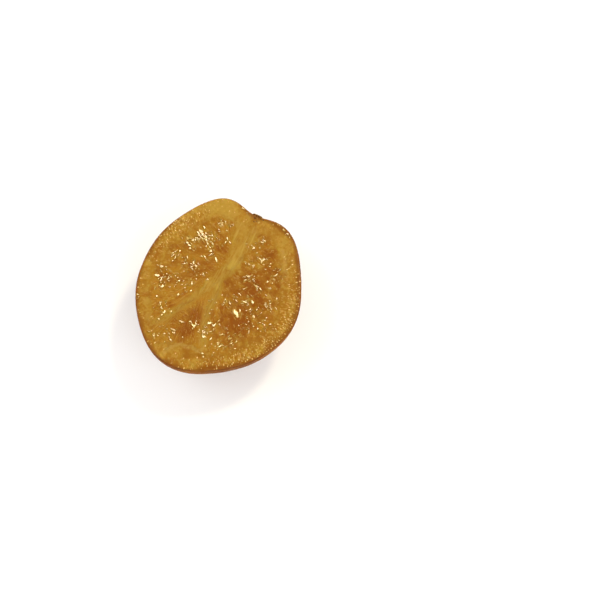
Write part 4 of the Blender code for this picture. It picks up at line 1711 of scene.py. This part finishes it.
def scrap_points():
    """A point for each scrap, with its direction, its lean and its size."""
    random = np.random.RandomState(SCRAP_SEED)
    half_way = np.array((sight + to_lamp.normalized()).normalized())
    rows = [(across, down, 0.0, *rest, SCRAP_LEAN) for across, down, *rest in GLINTS]
    for across, down, count, *rest in CLUSTERS:
        rows += [(across, down, *rest, FINE_LEAN)] * count
    spots, ways, leans, boxes = [], [], [], []
    for across, down, spread, length, width, turn, lean in rows:
        x, y = face_place(across, down) + random.normal(0.0, SCRAP_SCATTER * spread * MM, 2)
        bearing = math.radians(turn + random.normal(0.0, SCRAP_TURNS)) + VIEW_AZIMUTH
        share = random.uniform(*SCRAP_SHARES)
        off_slope = bearing - math.atan2(half_way[1], half_way[0])
        reach = 0.5 * MM * (abs(length * math.cos(off_slope)) + abs(width * math.sin(off_slope)))
        rise = SCRAP_RISE + reach * math.hypot(half_way[0], half_way[1])
        spots.append((x - MIDDLE[0], y - MIDDLE[1], KNIFE_HEIGHT + rise - 0.5 * SCRAP_THICKNESS))
        ways.append((math.cos(bearing), math.sin(bearing), 0.0))
        leans.append(half_way + random.normal(0.0, lean, 3))
        boxes.append((length * MM * share, width * MM * share, SCRAP_THICKNESS))
    mesh = bpy.data.meshes.new("syrup_scraps")
    mesh.from_pydata(spots, [], [])
    set_attribute(mesh, "way", ways)
    set_attribute(mesh, "lean", leans)
    set_attribute(mesh, "size", boxes)
    return linked("syrup_scraps", mesh)


def syrup_tree():
    inputs = {"Corners": WHOLE, "Waver": NUMBER, "Grain": NUMBER, "Finish": FINISH}
    bench, given = new_tree("syrup_scraps", inputs)
    sockets = {"Radius Top": SCRAP_TOP, "Radius Bottom": SCRAP_FOOT, "Depth": 1.0}
    scrap = bench.node("GeometryNodeMeshCone", {}, {"Vertices": given["Corners"], **sockets})
    way, lean, size = (bench.stored(label, "FLOAT_VECTOR") for label in ("way", "lean", "size"))
    copies = bench.copies(given["Geometry"], scrap, bench.aim("Z", "X", lean, way), size)
    real = bench.node("GeometryNodeRealizeInstances", {}, {"Geometry": copies})
    push = bench.noise(bench.node("GeometryNodeInputPosition"), given["Grain"], 1.0, out="Color")
    push = bench.stray(push, given["Waver"])
    sideways = bench.vector("SUBTRACT", push, bench.vector("PROJECT", push, lean))
    end_tree(bench, bench.moved(real, sideways), given["Finish"])
    return bench


syrup = scrap_points()
scrap_sizes = {"Corners": SCRAP_CORNERS, "Waver": SCRAP_WAVER, "Grain": SCRAP_GRAIN}
run_tree(syrup, syrup_tree(), {**scrap_sizes, "Finish": syrup_finish()})

# %% [markdown]
# ## The stem button
# What is left of the flower's cup is a small dry star in the dimple. It starts as a ball, which a
# formula flattens to a wavy, ribbed disc, and the same knife cuts it through. The knife also left
# some dry crumbs of it on the cut face beside the notch, placed by their pixels.

# %% Carve the stem button
button_low, button_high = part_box("stem_button")
CRUMBS = (  # pixel across, pixel down, size in mm
    (256.1, 217.9, 0.75),
    (258.5, 216.9, 0.60),
    (258.4, 218.8, 0.55),
    (261.2, 217.5, 0.60),
    (262.8, 218.4, 0.65),
    (264.7, 220.2, 0.60),
    (255.3, 221.4, 0.60),
    (257.6, 221.4, 0.45),
)
CUP_SHIFT = 0.0016  # to where the photograph shows the specks
CUP_BELOW_CUT = 0.0001
CUP_RIBS = 10.0
CUP_RIB_HEIGHT = 0.10
CUP_TOP_RISE = 0.25
CUP_BULGE = 0.75
STAR_RADIUS = 0.86
STAR_WAVES = ((0.12, 5.0, 0.4), (0.05, 13.0, 0.0))  # share of the radius, waves round the star, shift
CRUMB_LUMPS = 0.3
CRUMB_WAVES = 4000.0


def stem_button():
    radius = (button_high.x - button_low.x) / 2.0
    thick = button_high.y - button_low.y
    middle = Vector(((button_low.x + button_high.x) / 2.0 + CUP_SHIFT, button_low.y, KNIFE_HEIGHT))
    builder = bmesh.new()
    bmesh.ops.create_uvsphere(builder, u_segments=60, v_segments=30, radius=1.0)
    for vertex in builder.verts:
        x, y, z = vertex.co
        bearing = math.atan2(y, x)
        flat = math.hypot(x, y)
        star = STAR_RADIUS
        for share, waves, shift in STAR_WAVES:
            star += share * math.cos(waves * bearing + shift)
        ridge = CUP_RIB_HEIGHT * math.cos(CUP_RIBS * bearing) * flat + CUP_TOP_RISE * flat**2
        reach = radius * flat * star
        depth = thick * (0.5 + 0.5 * z * (CUP_BULGE + ridge))
        vertex.co = (reach * math.cos(bearing), depth, reach * math.sin(bearing))
    whole = [*builder.verts, *builder.edges, *builder.faces]
    knife = (0.0, 0.0, -CUP_BELOW_CUT)
    cut = bmesh.ops.bisect_plane(builder, geom=whole, plane_co=knife, plane_no=UPRIGHT, clear_outer=True)
    edges = [item for item in cut["geom_cut"] if isinstance(item, bmesh.types.BMEdge)]
    bmesh.ops.holes_fill(builder, edges=edges)
    bmesh.ops.recalc_face_normals(builder, faces=builder.faces)
    for vertex in builder.verts:
        vertex.co += middle
    add_crumbs(builder)
    mesh = bpy.data.meshes.new("calyx")
    builder.to_mesh(mesh)
    builder.free()
    mesh.shade_smooth()
    mesh.materials.append(button_finish())
    return linked("calyx", mesh)


def add_crumbs(builder):
    """Small lumpy balls on the cut."""
    for across, down, size in CRUMBS:
        x, y = face_place(across, down)
        crumb = bmesh.ops.create_icosphere(builder, subdivisions=2, radius=0.5 * size * MM)
        for vertex in crumb["verts"]:
            wave = math.sin(7.0 * across + CRUMB_WAVES * (vertex.co.x + 2.0 * vertex.co.y))
            vertex.co *= 1.0 + CRUMB_LUMPS * wave
            vertex.co += Vector((x - MIDDLE[0], y - MIDDLE[1], KNIFE_HEIGHT))


calyx = stem_button()
print("stem button:", len(calyx.data.polygons), "faces")

# %% [markdown]
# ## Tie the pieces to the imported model
# All pieces ride on the one body. Those of the fruit stand for its solid, and the star for the
# packed button.

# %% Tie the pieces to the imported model
for piece in (peel, sacs, threads, glands, syrup):
    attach(piece, "root")
    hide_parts("orange_half")
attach(calyx, "root")
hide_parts("stem_button")

# %% [markdown]
# ## The packed box
# What is drawn has to fit what is packed. The packed box is printed. The two differ by less than a
# millimetre: the scraps stand a little over the cut.

# %% Print the packed box
print("packed box in mm", [round(value / MM, 2) for value in (*cad_low, *cad_high)])
